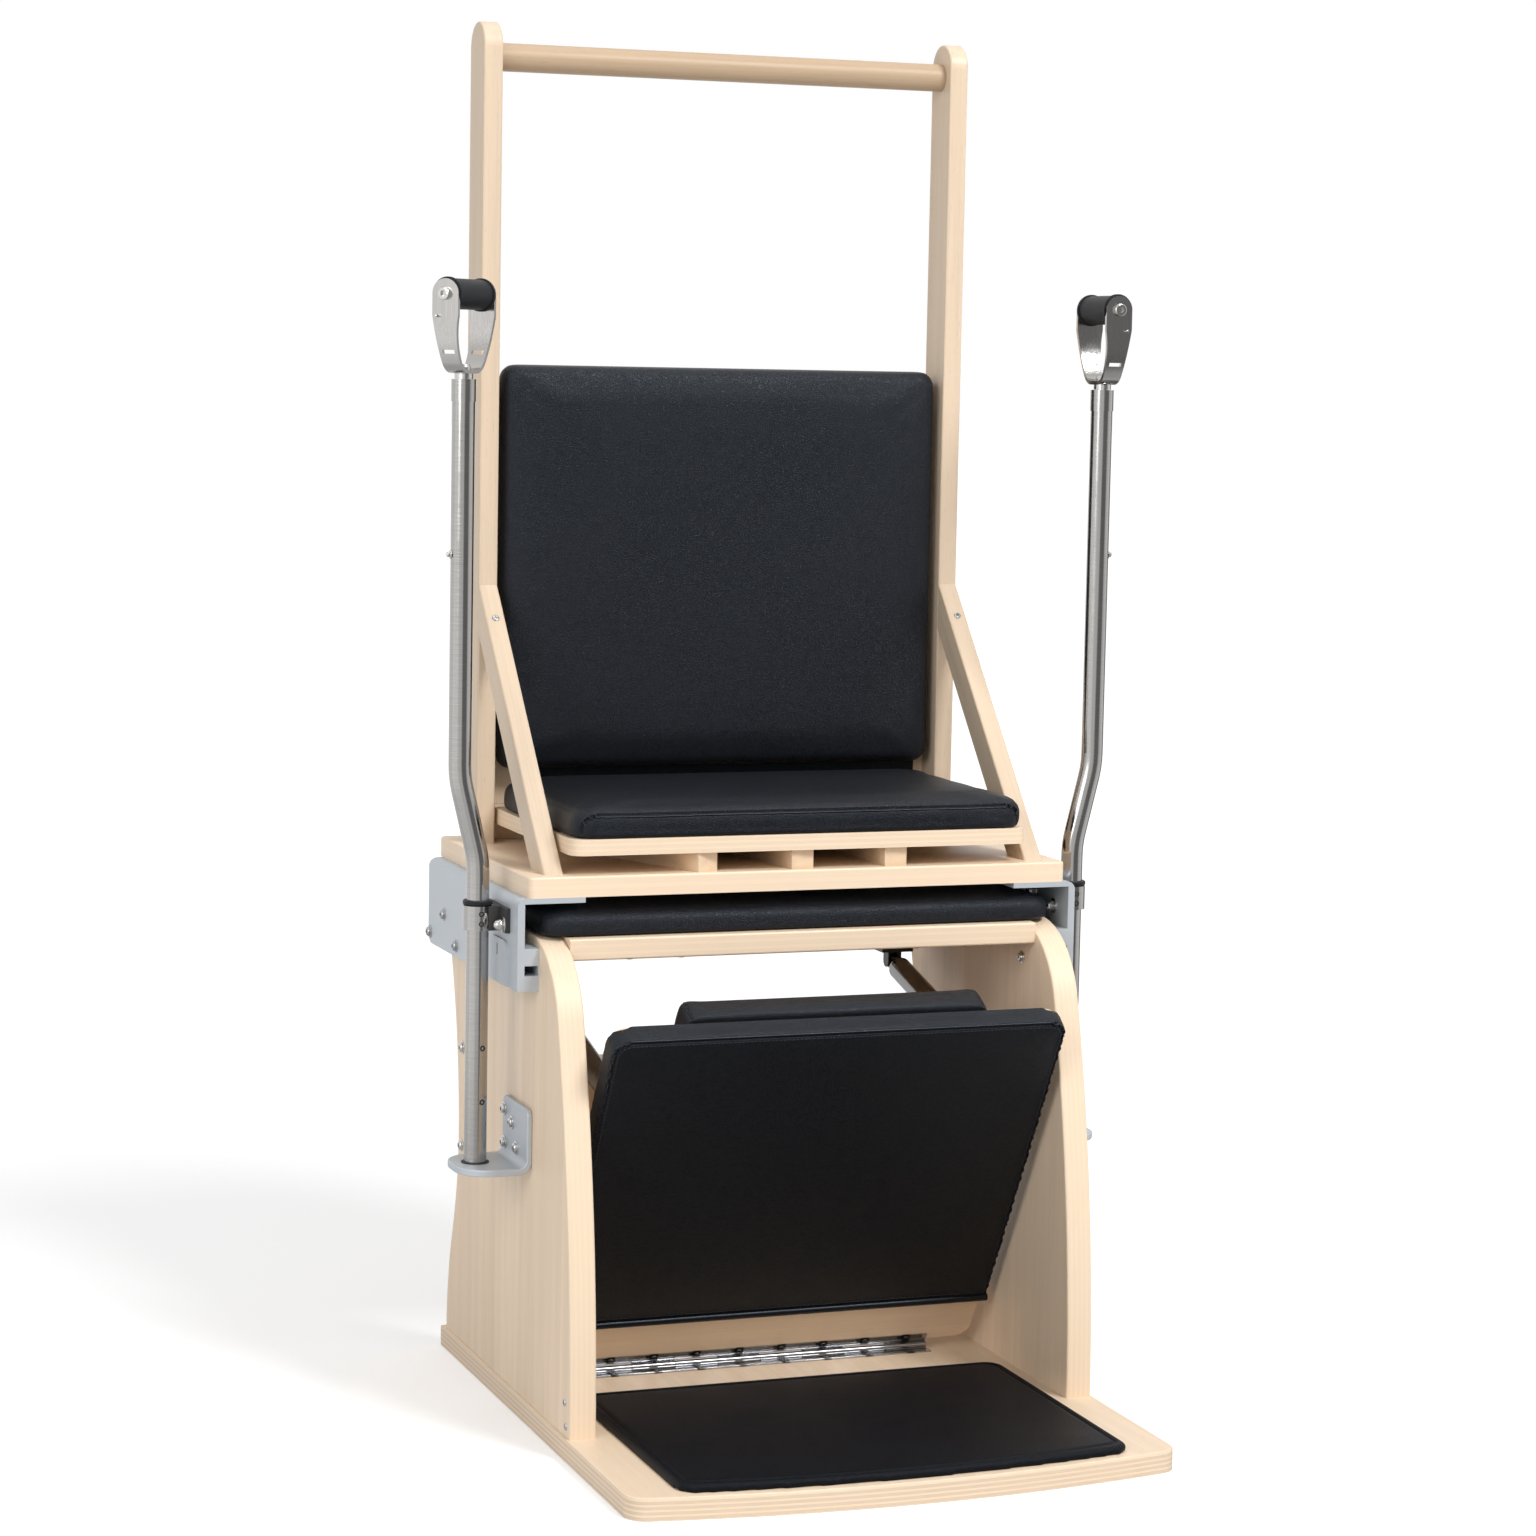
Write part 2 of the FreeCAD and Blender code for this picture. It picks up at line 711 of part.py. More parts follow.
def make_brackets():
    """Extruded side brackets with a top flange and a slotted box, and the cover plates on them."""
    body = new_body("side_bracket_left")
    web_inner = web_outer - size.bracket_wall
    flange_end = web_outer - size.flange_reach
    box_top = bracket_low + size.box_tall
    bend = size.bracket_bend
    section = sketch_on(body, "section", "XZ_Plane", -bracket_back)
    draw(section, [
        Corner(-web_outer, bracket_low), Corner(-panel_outer, bracket_low), Corner(-panel_outer, box_top),
        Corner(-web_inner, box_top), Corner(-web_inner, flange_low), Corner(-flange_end, flange_low),
        Corner(-flange_end, bench_low), Corner(bend - web_outer, bench_low, bend, True),
        Corner(-web_outer, bench_low - bend),
    ])
    pad(body, "extrusion", section, bracket_long)
    channel = sketch_on(body, "channel", "XZ_Plane", -bracket_back - size.cut_over)
    channel_low = bracket_low + size.channel_rise
    draw(channel, rectangle(-web_inner, -panel_outer - size.channel_skin, channel_low,
                            channel_low + size.channel_tall))
    pocket(body, "channel_cut", channel, bracket_long + 2 * size.cut_over, True)
    corner, over = size.bracket_corner, size.cut_over
    for name, level, way in (("top", bench_low, 1), ("foot", bracket_low, -1)):
        trim = sketch_on(body, name + "_corner", "YZ_Plane", -web_outer - over)
        draw(trim, [
            Corner(bracket_back - corner, level, corner, way < 0),
            Corner(bracket_back, level - way * corner),
            Corner(bracket_back + over, level - way * corner),
            Corner(bracket_back + over, level + way * over),
            Corner(bracket_back - corner, level + way * over),
        ])
        pocket(body, name + "_trim", trim, size.flange_reach + 2 * over, True)
    pair(body, "side_bracket")

    front = pole_y - size.cover_deep / 2
    back = pole_y + size.cover_deep / 2
    low = bracket_low + size.rest_gap
    high = low + size.cover_tall
    corner = size.cover_corner
    plate = side_profile("cover_plate_left", [
        Corner(front, low), Corner(back, low), Corner(back, high - corner, corner, True),
        Corner(back - corner, high), Corner(front + corner, high, corner, True),
        Corner(front, high - corner),
    ], -web_outer - size.cover_thick, -web_outer)
    slot = sketch_on(plate, "slot", "YZ_Plane", -web_outer - size.cover_thick - over)
    slot_y = pole_y + size.cover_slot_wide / 2
    slot_high = high - size.cover_slot_drop
    draw(slot, rectangle(slot_y, slot_y + size.cover_slot_wide, slot_high - size.cover_slot_tall, slot_high))
    pocket(plate, "slot_cut", slot, size.cover_thick + 2 * over, True)
    pair(plate, "cover_plate")


def make_bench():
    """The high-back bench: board, risers, padded seat, uprights, braces, dowel and padded back."""
    half = size.bench_wide / 2
    board = slab("bench_board", rectangle(-half, half, bench_front, bench_back), bench_low, bench_top)
    round_edges(board, "corners", size.bench_corner, lambda edge: runs_along(edge, Z_WAY))
    round_edges(board, "top_edge", size.board_edge, lambda edge: lies_at(edge, "z", bench_top))
    keep(board)

    turns = (("left", -1, size.riser_left_angle), ("mid", 0, size.riser_mid_angle),
             ("right", 1, size.riser_right_angle))
    for name, step, turn in turns:
        across = size.riser_wide / 2
        riser = slab("riser_%s" % name, rectangle(-across, across, Size.of(0), size.riser_long),
                     Size.of(0), size.riser_tall)
        place(riser, step * size.riser_pitch, bench_front + size.riser_inset, bench_top, Z_WAY, turn)
        keep(riser)

    seat_half = size.bench_seat_wide / 2
    seat_back = bench_front + size.bench_seat_deep
    seat = slab("bench_seat_board", rectangle(-seat_half, seat_half, bench_front, seat_back),
                bench_seat_low, bench_seat_top)
    round_edges(seat, "corners", size.bench_seat_corner,
                lambda edge: runs_along(edge, Z_WAY) and edge.BoundBox.YMax < bench_front.number + 1)
    keep(seat)
    cushion_front = bench_front - size.bench_cushion_ahead
    seat_cushion = cushion("bench_seat_cushion", size.bench_cushion_wide, size.bench_cushion_deep,
                           size.bench_cushion_tall, size.bench_cushion_corner)
    place(seat_cushion, 0, cushion_front + size.bench_cushion_deep / 2, bench_seat_top)

    crown = size.upright_deep / 2
    top = bench_top + size.upright_tall
    middle = (upright_front + upright_back) / 2
    left = -upright_inner - size.upright_wide
    upright = side_profile("upright_left", [
        Corner(upright_front, bench_top), Corner(upright_back, bench_top),
        Corner(upright_back, top - crown, crown, True), Corner(middle, top, crown, True),
        Corner(upright_front, top - crown),
    ], left, -upright_inner)
    round_edges(upright, "edges", size.board_edge,
                lambda edge: (lies_at(edge, "x", left) or lies_at(edge, "x", -upright_inner))
                and edge.BoundBox.ZMax > bench_top.number + 1)
    pair(upright, "upright")

    dowel = side_profile_circle("top_dowel", middle, top - size.dowel_drop, size.dowel_radius,
                                -upright_inner, size.upright_gap)
    keep(dowel)

    brace_top = bench_top + size.brace_rise
    toe = upright_front - size.brace_run
    heel = toe + size.brace_mitre * size.brace_run / size.brace_rise
    brace = side_profile("brace_left", [
        Corner(toe, bench_top), Corner(heel, bench_top),
        Corner(upright_front, brace_top - size.brace_mitre), Corner(upright_front, brace_top),
    ], left, -upright_inner)
    round_edges(brace, "edges", size.board_edge,
                lambda edge: (lies_at(edge, "x", left) or lies_at(edge, "x", -upright_inner))
                and not runs_along(edge, Y_WAY) and not runs_along(edge, Z_WAY))
    pair(brace, "brace")

    back_low = bench_top + size.back_board_rise
    keep(slab("back_board", rectangle(-upright_inner, upright_inner, upright_back - size.back_board_thick,
                                      upright_back),
              back_low, back_low + size.back_board_tall))
    back_cushion = cushion("back_cushion", size.back_cushion_wide, size.back_cushion_tall,
                           size.back_cushion_thick, size.back_cushion_corner)
    rise = bench_seat_top + size.bench_cushion_tall + size.back_cushion_lift
    place(back_cushion, 0, upright_back - size.back_board_thick, rise + size.back_cushion_tall / 2,
          X_WAY, RIGHT_ANGLE)


def side_profile_circle(label, y, z, radius, left, length):
    """A round bar across the chair."""
    body = new_body(label)
    sketch = sketch_on(body, "outline", "YZ_Plane", left)
    draw_circle(sketch, y, z, radius)
    pad(body, "bar", sketch, length)
    return body


def leaf_corners(place_at, flip, wide):
    """The plate of a hinge leaf and one knuckle rolled from it, as two outlines.

    place_at turns a distance out along the leaf and a height over its seat into sketch places.
    """
    barrel, thick = size.knuckle_radius, size.leaf_thick
    centre = barrel + size.hinge_lift
    start = barrel + size.knuckle_gap
    dip = centre - thick
    joint = root(barrel * barrel - dip * dip)
    plate = [Corner(*place_at(start, Size.of(0))), Corner(*place_at(wide, Size.of(0))),
             Corner(*place_at(wide, thick)), Corner(*place_at(start, thick))]
    zero = Size.of(0)
    knuckle = [
        Corner(*place_at(start, zero)), Corner(*place_at(start, thick)),
        Corner(*place_at(joint, thick), barrel, not flip),
        Corner(*place_at(zero, centre + barrel), barrel, not flip),
        Corner(*place_at(-barrel, centre), barrel, not flip),
        Corner(*place_at(zero, size.hinge_lift)),
        Corner(*place_at(zero, zero)),
    ]
    return plate, knuckle, centre


def make_leaf(label, place_at, flip, wide, first):
    """A hinge leaf: one plate, and every second knuckle of the barrel."""
    body = new_body(label)
    pitch = size.hinge_long / (2 * KNUCKLE_PAIRS)
    plate, knuckle, centre = leaf_corners(place_at, flip, wide)
    sketch = sketch_on(body, "plate", "YZ_Plane", -size.hinge_long / 2)
    draw(sketch, plate)
    pad(body, "leaf", sketch, size.hinge_long)
    start = first * pitch - size.hinge_long / 2 + size.knuckle_gap / 2
    roll = sketch_on(body, "knuckle", "YZ_Plane", start)
    draw(roll, knuckle)
    draw_circle(roll, *place_at(Size.of(0), centre), size.hinge_pin_radius + size.running_gap)
    barrel = pad(body, "barrel", roll, pitch - size.knuckle_gap)
    doc.recompute()
    row = body.newObject("PartDesign::LinearPattern", "%s_row" % body.Name)
    row.Originals = [barrel]
    row.Direction = (roll, ["N_Axis"])
    bind(row, "Length", 2 * pitch * (KNUCKLE_PAIRS - 1))
    row.Occurrences = KNUCKLE_PAIRS
    body.Tip = row
    return keep(body)


def make_hinge():
    """The piano hinge: a leaf on the base, a leaf on the pedal and the pin through both."""
    make_leaf("hinge_base_leaf", lambda out, up: (hinge_y - out, size.base_thick + up), True,
              size.base_leaf_wide, 0)
    leaf = make_leaf("hinge_pedal_leaf", lambda out, up: (board_front - up, out), False,
                     size.pedal_leaf_wide, 1)
    lean_with_pedal(leaf)
    keep(side_profile_circle("hinge_pin", hinge_y, hinge_z, size.hinge_pin_radius,
                             -size.hinge_long / 2, size.hinge_long))


def front_profile(label, outline, front, back):
    """A piece with one outline across the pedal, between two depths of the pedal's frame."""
    body = new_body(label)
    sketch = sketch_on(body, "outline", "XZ_Plane", -back)
    draw(sketch, outline)
    pad(body, "board", sketch, back - front)
    return body


def make_pedal():
    """The pedal: a board with a bare foot, its padded cover and the padded bar behind its top."""
    half = size.pedal_wide / 2
    board = front_profile("pedal_board", rectangle(-half, half, size.pedal_start, pedal_top),
                          board_front, board_back)
    round_edges(board, "corners", size.pedal_corner, lambda edge: runs_along(edge, Y_WAY))
    lean_with_pedal(board)
    keep(board)

    over, gap = size.pedal_pad_over, size.rest_gap
    pad_half = half + over
    pad_top = pedal_top + over
    face = board_front - size.pedal_pad_front
    cover = front_profile("pedal_pad", rectangle(-pad_half, pad_half, size.pedal_pad_start, pad_top),
                          face, board_back)
    round_edges(cover, "corners", size.pedal_pad_corner,
                lambda edge: runs_along(edge, Y_WAY) and edge.BoundBox.ZMin > size.pedal_pad_start.number + 1)
    round_edges(cover, "roll", size.pedal_pad_roll, lambda edge: lies_at(edge, "y", face))
    hollow = sketch_on(cover, "hollow", "XZ_Plane", -board_back - size.cut_over)
    bend = size.pedal_corner
    draw(hollow, [
        Corner(-half - gap, size.pedal_pad_start - size.cut_over),
        Corner(half + gap, size.pedal_pad_start - size.cut_over),
        Corner(half + gap, pedal_top + gap - bend, bend, True), Corner(half + gap - bend, pedal_top + gap),
        Corner(-half - gap + bend, pedal_top + gap, bend, True), Corner(-half - gap, pedal_top + gap - bend),
    ])
    pocket(cover, "hollow_cut", hollow, size.pedal_thick + size.cut_over, True)
    lean_with_pedal(cover)
    keep(cover)

    bar_half = size.toe_pad_wide / 2
    bar_top = pad_top + size.toe_pad_rise
    bar_back = board_back + size.toe_pad_thick
    outline = rectangle(-bar_half, bar_half, bar_top - size.toe_pad_tall, bar_top)
    bar = front_profile("pedal_back_pad", outline, board_back, bar_back)
    round_edges(bar, "roll", size.toe_pad_roll, lambda edge: not lies_at(edge, "y", board_back))
    lean_with_pedal(bar)
    keep(bar)


def make_clevis(label):
    """A fork that hangs from a plate at z = 0 and holds a pivot pin across the chair."""
    body = new_body(label)
    fork = size.eye_thick / 2 + size.eye_side_gap + size.clevis_cheek
    slot = size.eye_thick / 2 + size.eye_side_gap
    bend, stand = size.clevis_round, -size.clevis_stand
    plate_x, plate_y = size.clevis_plate_wide / 2, size.clevis_plate_deep / 2
    plate = sketch_on(body, "plate", "XY_Plane", -size.clevis_plate_thick)
    draw(plate, rectangle(-plate_x, plate_x, -plate_y, plate_y))
    pad(body, "foot", plate, size.clevis_plate_thick)
    cheek = sketch_on(body, "cheek", "YZ_Plane", -fork)
    draw(cheek, [
        Corner(-bend, stand, bend, True), Corner(Size.of(0), stand - bend, bend, True),
        Corner(bend, stand), Corner(bend, -size.clevis_plate_thick),
        Corner(-bend, -size.clevis_plate_thick),
    ])
    pad(body, "cheeks", cheek, 2 * fork)
    gap = sketch_on(body, "gap", "YZ_Plane", -slot)
    reach = bend + size.cut_over
    draw(gap, rectangle(-reach, reach, stand - reach, -size.clevis_plate_thick))
    pocket(body, "gap_cut", gap, 2 * slot, True)
    pin = sketch_on(body, "pin", "YZ_Plane", -fork)
    draw_circle(pin, 0, stand, size.pivot_radius)
    pad(body, "pin_bar", pin, 2 * fork)
    return body


def eye(body, along):
    """The flat eye at a strut's end, with a running bore for the pivot pin."""
    blank = sketch_on(body, "eye", "YZ_Plane", -size.eye_thick / 2)
    draw_circle(blank, 0, along, size.eye_radius)
    pad(body, "eye_pad", blank, size.eye_thick)
    bore = sketch_on(body, "bore", "YZ_Plane", -size.eye_thick / 2 - size.cut_over)
    draw_circle(bore, 0, along, size.pivot_radius + size.running_gap)
    pocket(body, "bore_cut", bore, size.eye_thick + 2 * size.cut_over, True)


def make_struts(rail_y, rail_low):
    """Spring struts: a tube hung from the rear rail and the rod that draws out of it."""
    across = -size.strut_apart / 2
    upper_y, upper_z = rail_y, rail_low - size.clevis_stand
    lower_y, lower_z = pedal_world(board_back + size.clevis_stand, size.lug_along)
    run, drop = upper_y - lower_y, upper_z - lower_z
    dip = arc_tangent(drop / run)
    long = root(run * run + drop * drop)

    hanger = make_clevis("strut_hanger_left")
    place(hanger, across, rail_y, rail_low)
    pair(hanger, "strut_hanger")
    lug = make_clevis("pedal_lug_left")
    lug_y, lug_z = pedal_world(board_back, size.lug_along)
    place(lug, across, lug_y, lug_z, X_WAY, size.pedal_lean_angle + RIGHT_ANGLE)
    pair(lug, "pedal_lug")

    tube = new_body("strut_tube_left")
    outer, bore = size.tube_radius, size.tube_radius - size.tube_wall
    dome = size.tube_dome
    zero = Size.of(0)
    neck = size.clevis_round + size.rest_gap
    end = long - size.tube_short
    wall = sketch_on(tube, "wall", "XZ_Plane")
    draw(wall, [
        Corner(zero, neck), Corner(size.neck_radius, neck),
        Corner(size.neck_radius, size.tube_start), Corner(outer - dome, size.tube_start, dome, True),
        Corner(outer, size.tube_start + dome), Corner(outer, end), Corner(bore, end),
        Corner(bore, size.tube_start + dome), Corner(zero, size.tube_start + dome),
    ])
    revolve(tube, "tube", wall, "V_Axis")
    eye(tube, zero)
    place(tube, across, upper_y, upper_z, X_WAY, RIGHT_ANGLE + dip)
    pair(tube, "strut_tube")

    rod = new_body("strut_rod_left")
    bar = sketch_on(rod, "bar", "XZ_Plane")
    draw(bar, rectangle(zero, size.rod_radius, size.rod_start, long - neck))
    revolve(rod, "rod", bar, "V_Axis")
    eye(rod, long)
    place(rod, across, upper_y, upper_z, X_WAY, RIGHT_ANGLE + dip)
    pair(rod, "strut_rod")


def make_poles():
    """The bent handle poles, their collars, clamps, lower brackets and bushes."""
    shelf_low = size.base_thick + size.lower_rise
    shelf_top = shelf_low + size.shelf_thick
    radius = size.pole_radius
    bore = radius + size.running_gap
    pair(ring("pole_collar_left", pole_x, pole_y, collar_low, collar_top, collar_outer, bore), "pole_collar")

    clamp = new_body("pole_clamp_left")
    jaw = collar_outer + size.running_gap
    half, wing = size.clamp_deep / 2, size.clamp_flange_deep / 2
    lip = pole_x + root(jaw * jaw - half * half)
    face = -web_outer - size.clamp_flange
    sketch = sketch_on(clamp, "outline", "XY_Plane", collar_low)
    draw(sketch, [
        Corner(-web_outer, pole_y - wing), Corner(-web_outer, pole_y + wing),
        Corner(face, pole_y + wing), Corner(face, pole_y + half), Corner(lip, pole_y + half, jaw, False),
        Corner(lip, pole_y - half), Corner(face, pole_y - half), Corner(face, pole_y - wing),
    ])
    pad(clamp, "block", sketch, size.collar_tall)
    pair(clamp, "pole_clamp")

    make_lower_brackets(shelf_low, shelf_top, bore)
    bush = ring("pole_bush_left", pole_x, pole_y, shelf_low, shelf_top + size.bush_lip,
                bore + size.bush_wall, bore)
    pair(bush, "pole_bush")

    pole = new_body("pole_left")
    bend, turn = size.pole_bend_radius, size.pole_bend_angle
    bend_low = collar_top + size.pole_bend_gap
    rise = bend * sine(turn)
    shift = bend * (1 - cosine(turn))
    slope = (size.pole_offset - 2 * shift) / sine(turn) * cosine(turn)
    upper_x = pole_x - size.pole_offset
    bend_high = bend_low + 2 * rise + slope
    top = bend_high + size.pole_upper_long
    path = sketch_on(pole, "path", "XZ_Plane", -pole_y)
    stations = [
        (pole_x, shelf_low, None), (pole_x, bend_low, True), (pole_x - shift, bend_low + rise, None),
        (upper_x + shift, bend_high - rise, False), (upper_x, bend_high, None), (upper_x, top, None),
    ]
    draw_path(path, stations, bend)
    profile = sketch_on(pole, "profile", "XY_Plane", shelf_low)
    draw_circle(profile, pole_x, pole_y, radius)
    draw_circle(profile, pole_x, pole_y, radius - size.pole_wall)
    pipe = pole.newObject("PartDesign::AdditivePipe", "pole_left_pipe")
    pipe.Profile = profile
    pipe.Spine = (path, ["Edge%d" % number for number in range(1, len(stations))])
    sleeve = sketch_on(pole, "sleeve", "XY_Plane", top - size.sleeve_tall)
    draw_circle(sleeve, upper_x, pole_y, radius + size.sleeve_step)
    pad(pole, "sleeve_pad", sleeve, size.sleeve_tall)
    socket = sketch_on(pole, "socket", "XY_Plane", top - size.stem_long - size.rest_gap)
    draw_circle(socket, upper_x, pole_y, size.stem_radius + size.running_gap)
    pocket(pole, "socket_cut", socket, size.stem_long + size.cut_over, True)
    pair(pole, "pole")

    stop = new_body("pole_stop_left")
    outer, tall, bevel = radius + size.stop_ring_wide, size.stop_ring_tall, size.stop_ring_bevel
    zero = Size.of(0)
    section = sketch_on(stop, "section", "XZ_Plane")
    draw(section, [
        Corner(radius, zero), Corner(outer - bevel, zero), Corner(outer, bevel), Corner(outer, tall - bevel),
        Corner(outer - bevel, tall), Corner(radius, tall),
    ])
    revolve(stop, "ring", section, "V_Axis")
    place(stop, pole_x, pole_y, collar_top + size.rest_gap)
    pair(stop, "pole_stop")
    return upper_x, top


def draw_path(sketch, stations, bend):
    """Draw an open path of lines and arcs of one radius through stations.

    A station's third value says whether the arc that leaves it has its centre on the left.
    """
    edges = []
    for here, after in zip(stations, stations[1:]):
        start = V(here[0].number, here[1].number, 0)
        end = V(after[0].number, after[1].number, 0)
        if here[2] is None:
            edges.append((sketch.addGeometry(Part.LineSegment(start, end)), 1))
        else:
            arc, first = arc_between(start, end, bend.number, here[2])
            edges.append((sketch.addGeometry(arc), first))
    for (one, first), (other, other_first) in zip(edges, edges[1:]):
        sketch.addConstraint(Sketcher.Constraint("Coincident", one, 3 - first, other, other_first))
    for here, (geometry, first) in zip(stations, edges):
        fix_point(sketch, geometry, first, here[0], here[1])
        if here[2] is not None:
            index = sketch.addConstraint(Sketcher.Constraint("Radius", geometry, bend.number))
            bind(sketch, "Constraints[%d]" % index, bend)
    last, first = edges[-1]
    fix_point(sketch, last, 3 - first, stations[-1][0], stations[-1][1])


def make_lower_brackets(shelf_low, shelf_top, bore):
    """Angle brackets on the panels whose round-ended shelves hold the poles' feet."""
    body = new_body("lower_bracket_left")
    plate_x = -panel_outer - size.lower_plate_thick
    end = pole_x - size.lower_end
    inner, outer = size.lower_bend, size.lower_bend + size.lower_plate_thick
    top = shelf_low + size.lower_tall
    front = pole_y - size.lower_wide / 2
    back = pole_y + size.lower_wide / 2
    section = sketch_on(body, "section", "XZ_Plane", -back)
    draw(section, [
        Corner(end, shelf_low), Corner(-panel_outer - outer, shelf_low, outer, True),
        Corner(-panel_outer, shelf_low + outer), Corner(-panel_outer, top), Corner(plate_x, top),
        Corner(plate_x, shelf_top + inner, inner, False), Corner(plate_x - inner, shelf_top),
        Corner(end, shelf_top),
    ])
    pad(body, "angle", section, size.lower_wide)
    round_edges(body, "shelf_end", size.lower_corner,
                lambda edge: runs_along(edge, Z_WAY) and lies_at(edge, "x", end))
    round_edges(body, "plate_corners", size.lower_plate_corner,
                lambda edge: runs_along(edge, X_WAY) and lies_at(edge, "z", top)
                and (lies_at(edge, "y", front) or lies_at(edge, "y", back)))
    round_edges(body, "soft_edges", size.shelf_edge,
                lambda edge: lies_at(edge, "y", front) or lies_at(edge, "z", top)
                or lies_at(edge, "y", back)
                or edge.BoundBox.XMax < (pole_x + size.pole_radius).number
                and (lies_at(edge, "z", shelf_low) or lies_at(edge, "z", shelf_top)))
    hole = sketch_on(body, "hole", "XY_Plane", shelf_low - size.cut_over)
    draw_circle(hole, pole_x, pole_y, bore + size.bush_wall)
    pocket(body, "hole_cut", hole, size.shelf_thick + 2 * size.cut_over, True)
    pair(body, "lower_bracket")


def make_yoke(side, x, z, turn):
    """A strap yoke on a stem that swivels in the pole, with its bolt and roller grip."""
    half = size.yoke_span / 2
    strap = size.yoke_strap
    low = size.stem_neck_tall
    bolt = low + size.yoke_bow_tall + size.yoke_flat
    swing = size.yoke_bow_angle
    across, up = half - size.yoke_foot / 2, size.yoke_bow_tall
    near, far = 1 - cosine(swing), cosine(swing)
    rise, rest = sine(swing), 1 - sine(swing)
    wide_arc = (across * rest - up * far) / (near * rest - rise * far)
    tight_arc = (across - wide_arc * near) / far
    bend_z = low + size.yoke_bow_tall
    knee_x, knee_z = half - wide_arc * near, bend_z - wide_arc * rise
    inner_x, inner_z = knee_x - strap * cosine(swing), knee_z + strap * sine(swing)
    foot = size.yoke_foot / 2
    top = bolt + size.yoke_wide / 2
    slim_wide, slim_tight = wide_arc - strap, tight_arc - strap
    sweep = bow_radius(2 * size.yoke_bow_tall, (size.yoke_wide - size.yoke_tip_wide) / 2)

    yoke = new_body("yoke_%s" % side)
    outline = sketch_on(yoke, "strap", "XZ_Plane", -size.yoke_wide / 2)
    draw(outline, [
        Corner(-foot, low), Corner(foot, low, tight_arc, True), Corner(knee_x, knee_z, wide_arc, True),
        Corner(half, bend_z), Corner(half, top), Corner(half - strap, top),
        Corner(half - strap, bend_z, slim_wide, False), Corner(inner_x, inner_z, slim_tight, False),
        Corner(foot, low + strap), Corner(-foot, low + strap, slim_tight, False),
        Corner(-inner_x, inner_z, slim_wide, False), Corner(strap - half, bend_z),
        Corner(strap - half, top), Corner(-half, top), Corner(-half, bend_z, wide_arc, True),
        Corner(-knee_x, knee_z, tight_arc, True),
    ])
    pad(yoke, "strap_pad", outline, size.yoke_wide)
    round_edges(yoke, "round_tops", size.yoke_wide / 2 - size.yoke_round_flat,
                lambda edge: runs_along(edge, X_WAY) and lies_at(edge, "z", top))
    for name, way in (("front_taper", -1), ("back_taper", 1)):
        taper = sketch_on(yoke, name, "YZ_Plane", -half - size.cut_over)
        tip, edge = way * size.yoke_tip_wide / 2, way * size.yoke_wide / 2
        clear = edge + way * size.cut_over
        draw(taper, [
            Corner(tip, low - size.cut_over), Corner(tip, low, sweep, way < 0), Corner(edge, bend_z),
            Corner(clear, bend_z), Corner(clear, low - size.cut_over),
        ])
        pocket(yoke, "%s_cut" % name, taper, size.yoke_span + 2 * size.cut_over, True)
    holes = sketch_on(yoke, "bolt_hole", "YZ_Plane", -half - size.cut_over)
    draw_circle(holes, 0, bolt, size.axle_radius)
    pocket(yoke, "bolt_cut", holes, size.yoke_span + 2 * size.cut_over, True)
    slot = sketch_on(yoke, "slot", "YZ_Plane", -half - size.cut_over)
    slot_half, slot_low = size.yoke_slot_long / 2, low + size.yoke_slot_rise
    draw(slot, rectangle(-slot_half, slot_half, slot_low, slot_low + size.yoke_slot_tall))
    pocket(yoke, "slot_cut", slot, size.yoke_span + 2 * size.cut_over, True)
    stud = sketch_on(yoke, "stud_hole", "XY_Plane", low - size.cut_over)
    draw_circle(stud, 0, 0, size.stem_radius)
    pocket(yoke, "stud_cut", stud, strap + 2 * size.cut_over, True)

    stem = new_body("yoke_stem_%s" % side)
    zero = Size.of(0)
    turned = sketch_on(stem, "profile", "XZ_Plane")
    draw(turned, [
        Corner(zero, -size.stem_long), Corner(size.stem_radius, -size.stem_long),
        Corner(size.stem_radius, size.rest_gap), Corner(size.stem_neck_radius, size.rest_gap),
        Corner(size.stem_neck_radius, low), Corner(size.stem_radius, low),
        Corner(size.stem_radius, low + strap), Corner(size.stem_nut_radius, low + strap),
        Corner(size.stem_nut_radius, low + strap + size.stem_nut_tall / 2),
        Corner(size.stem_radius, low + strap + size.stem_nut_tall),
        Corner(zero, low + strap + size.stem_nut_tall),
    ])
    revolve(stem, "turned", turned, "V_Axis")

    inner_half = half - strap - size.rest_gap
    rim = inner_half - size.grip_rim_thick
    hole = size.axle_radius + size.running_gap
    grip = new_body("grip_%s" % side)
    roller = sketch_on(grip, "profile", "XZ_Plane")
    draw(roller, [
        Corner(-inner_half, hole), Corner(inner_half, hole), Corner(inner_half, size.grip_rim_radius),
        Corner(rim, size.grip_rim_radius), Corner(rim, size.grip_radius), Corner(-rim, size.grip_radius),
        Corner(-rim, size.grip_rim_radius), Corner(-inner_half, size.grip_rim_radius),
    ])
    revolve(grip, "roller", roller, "H_Axis")

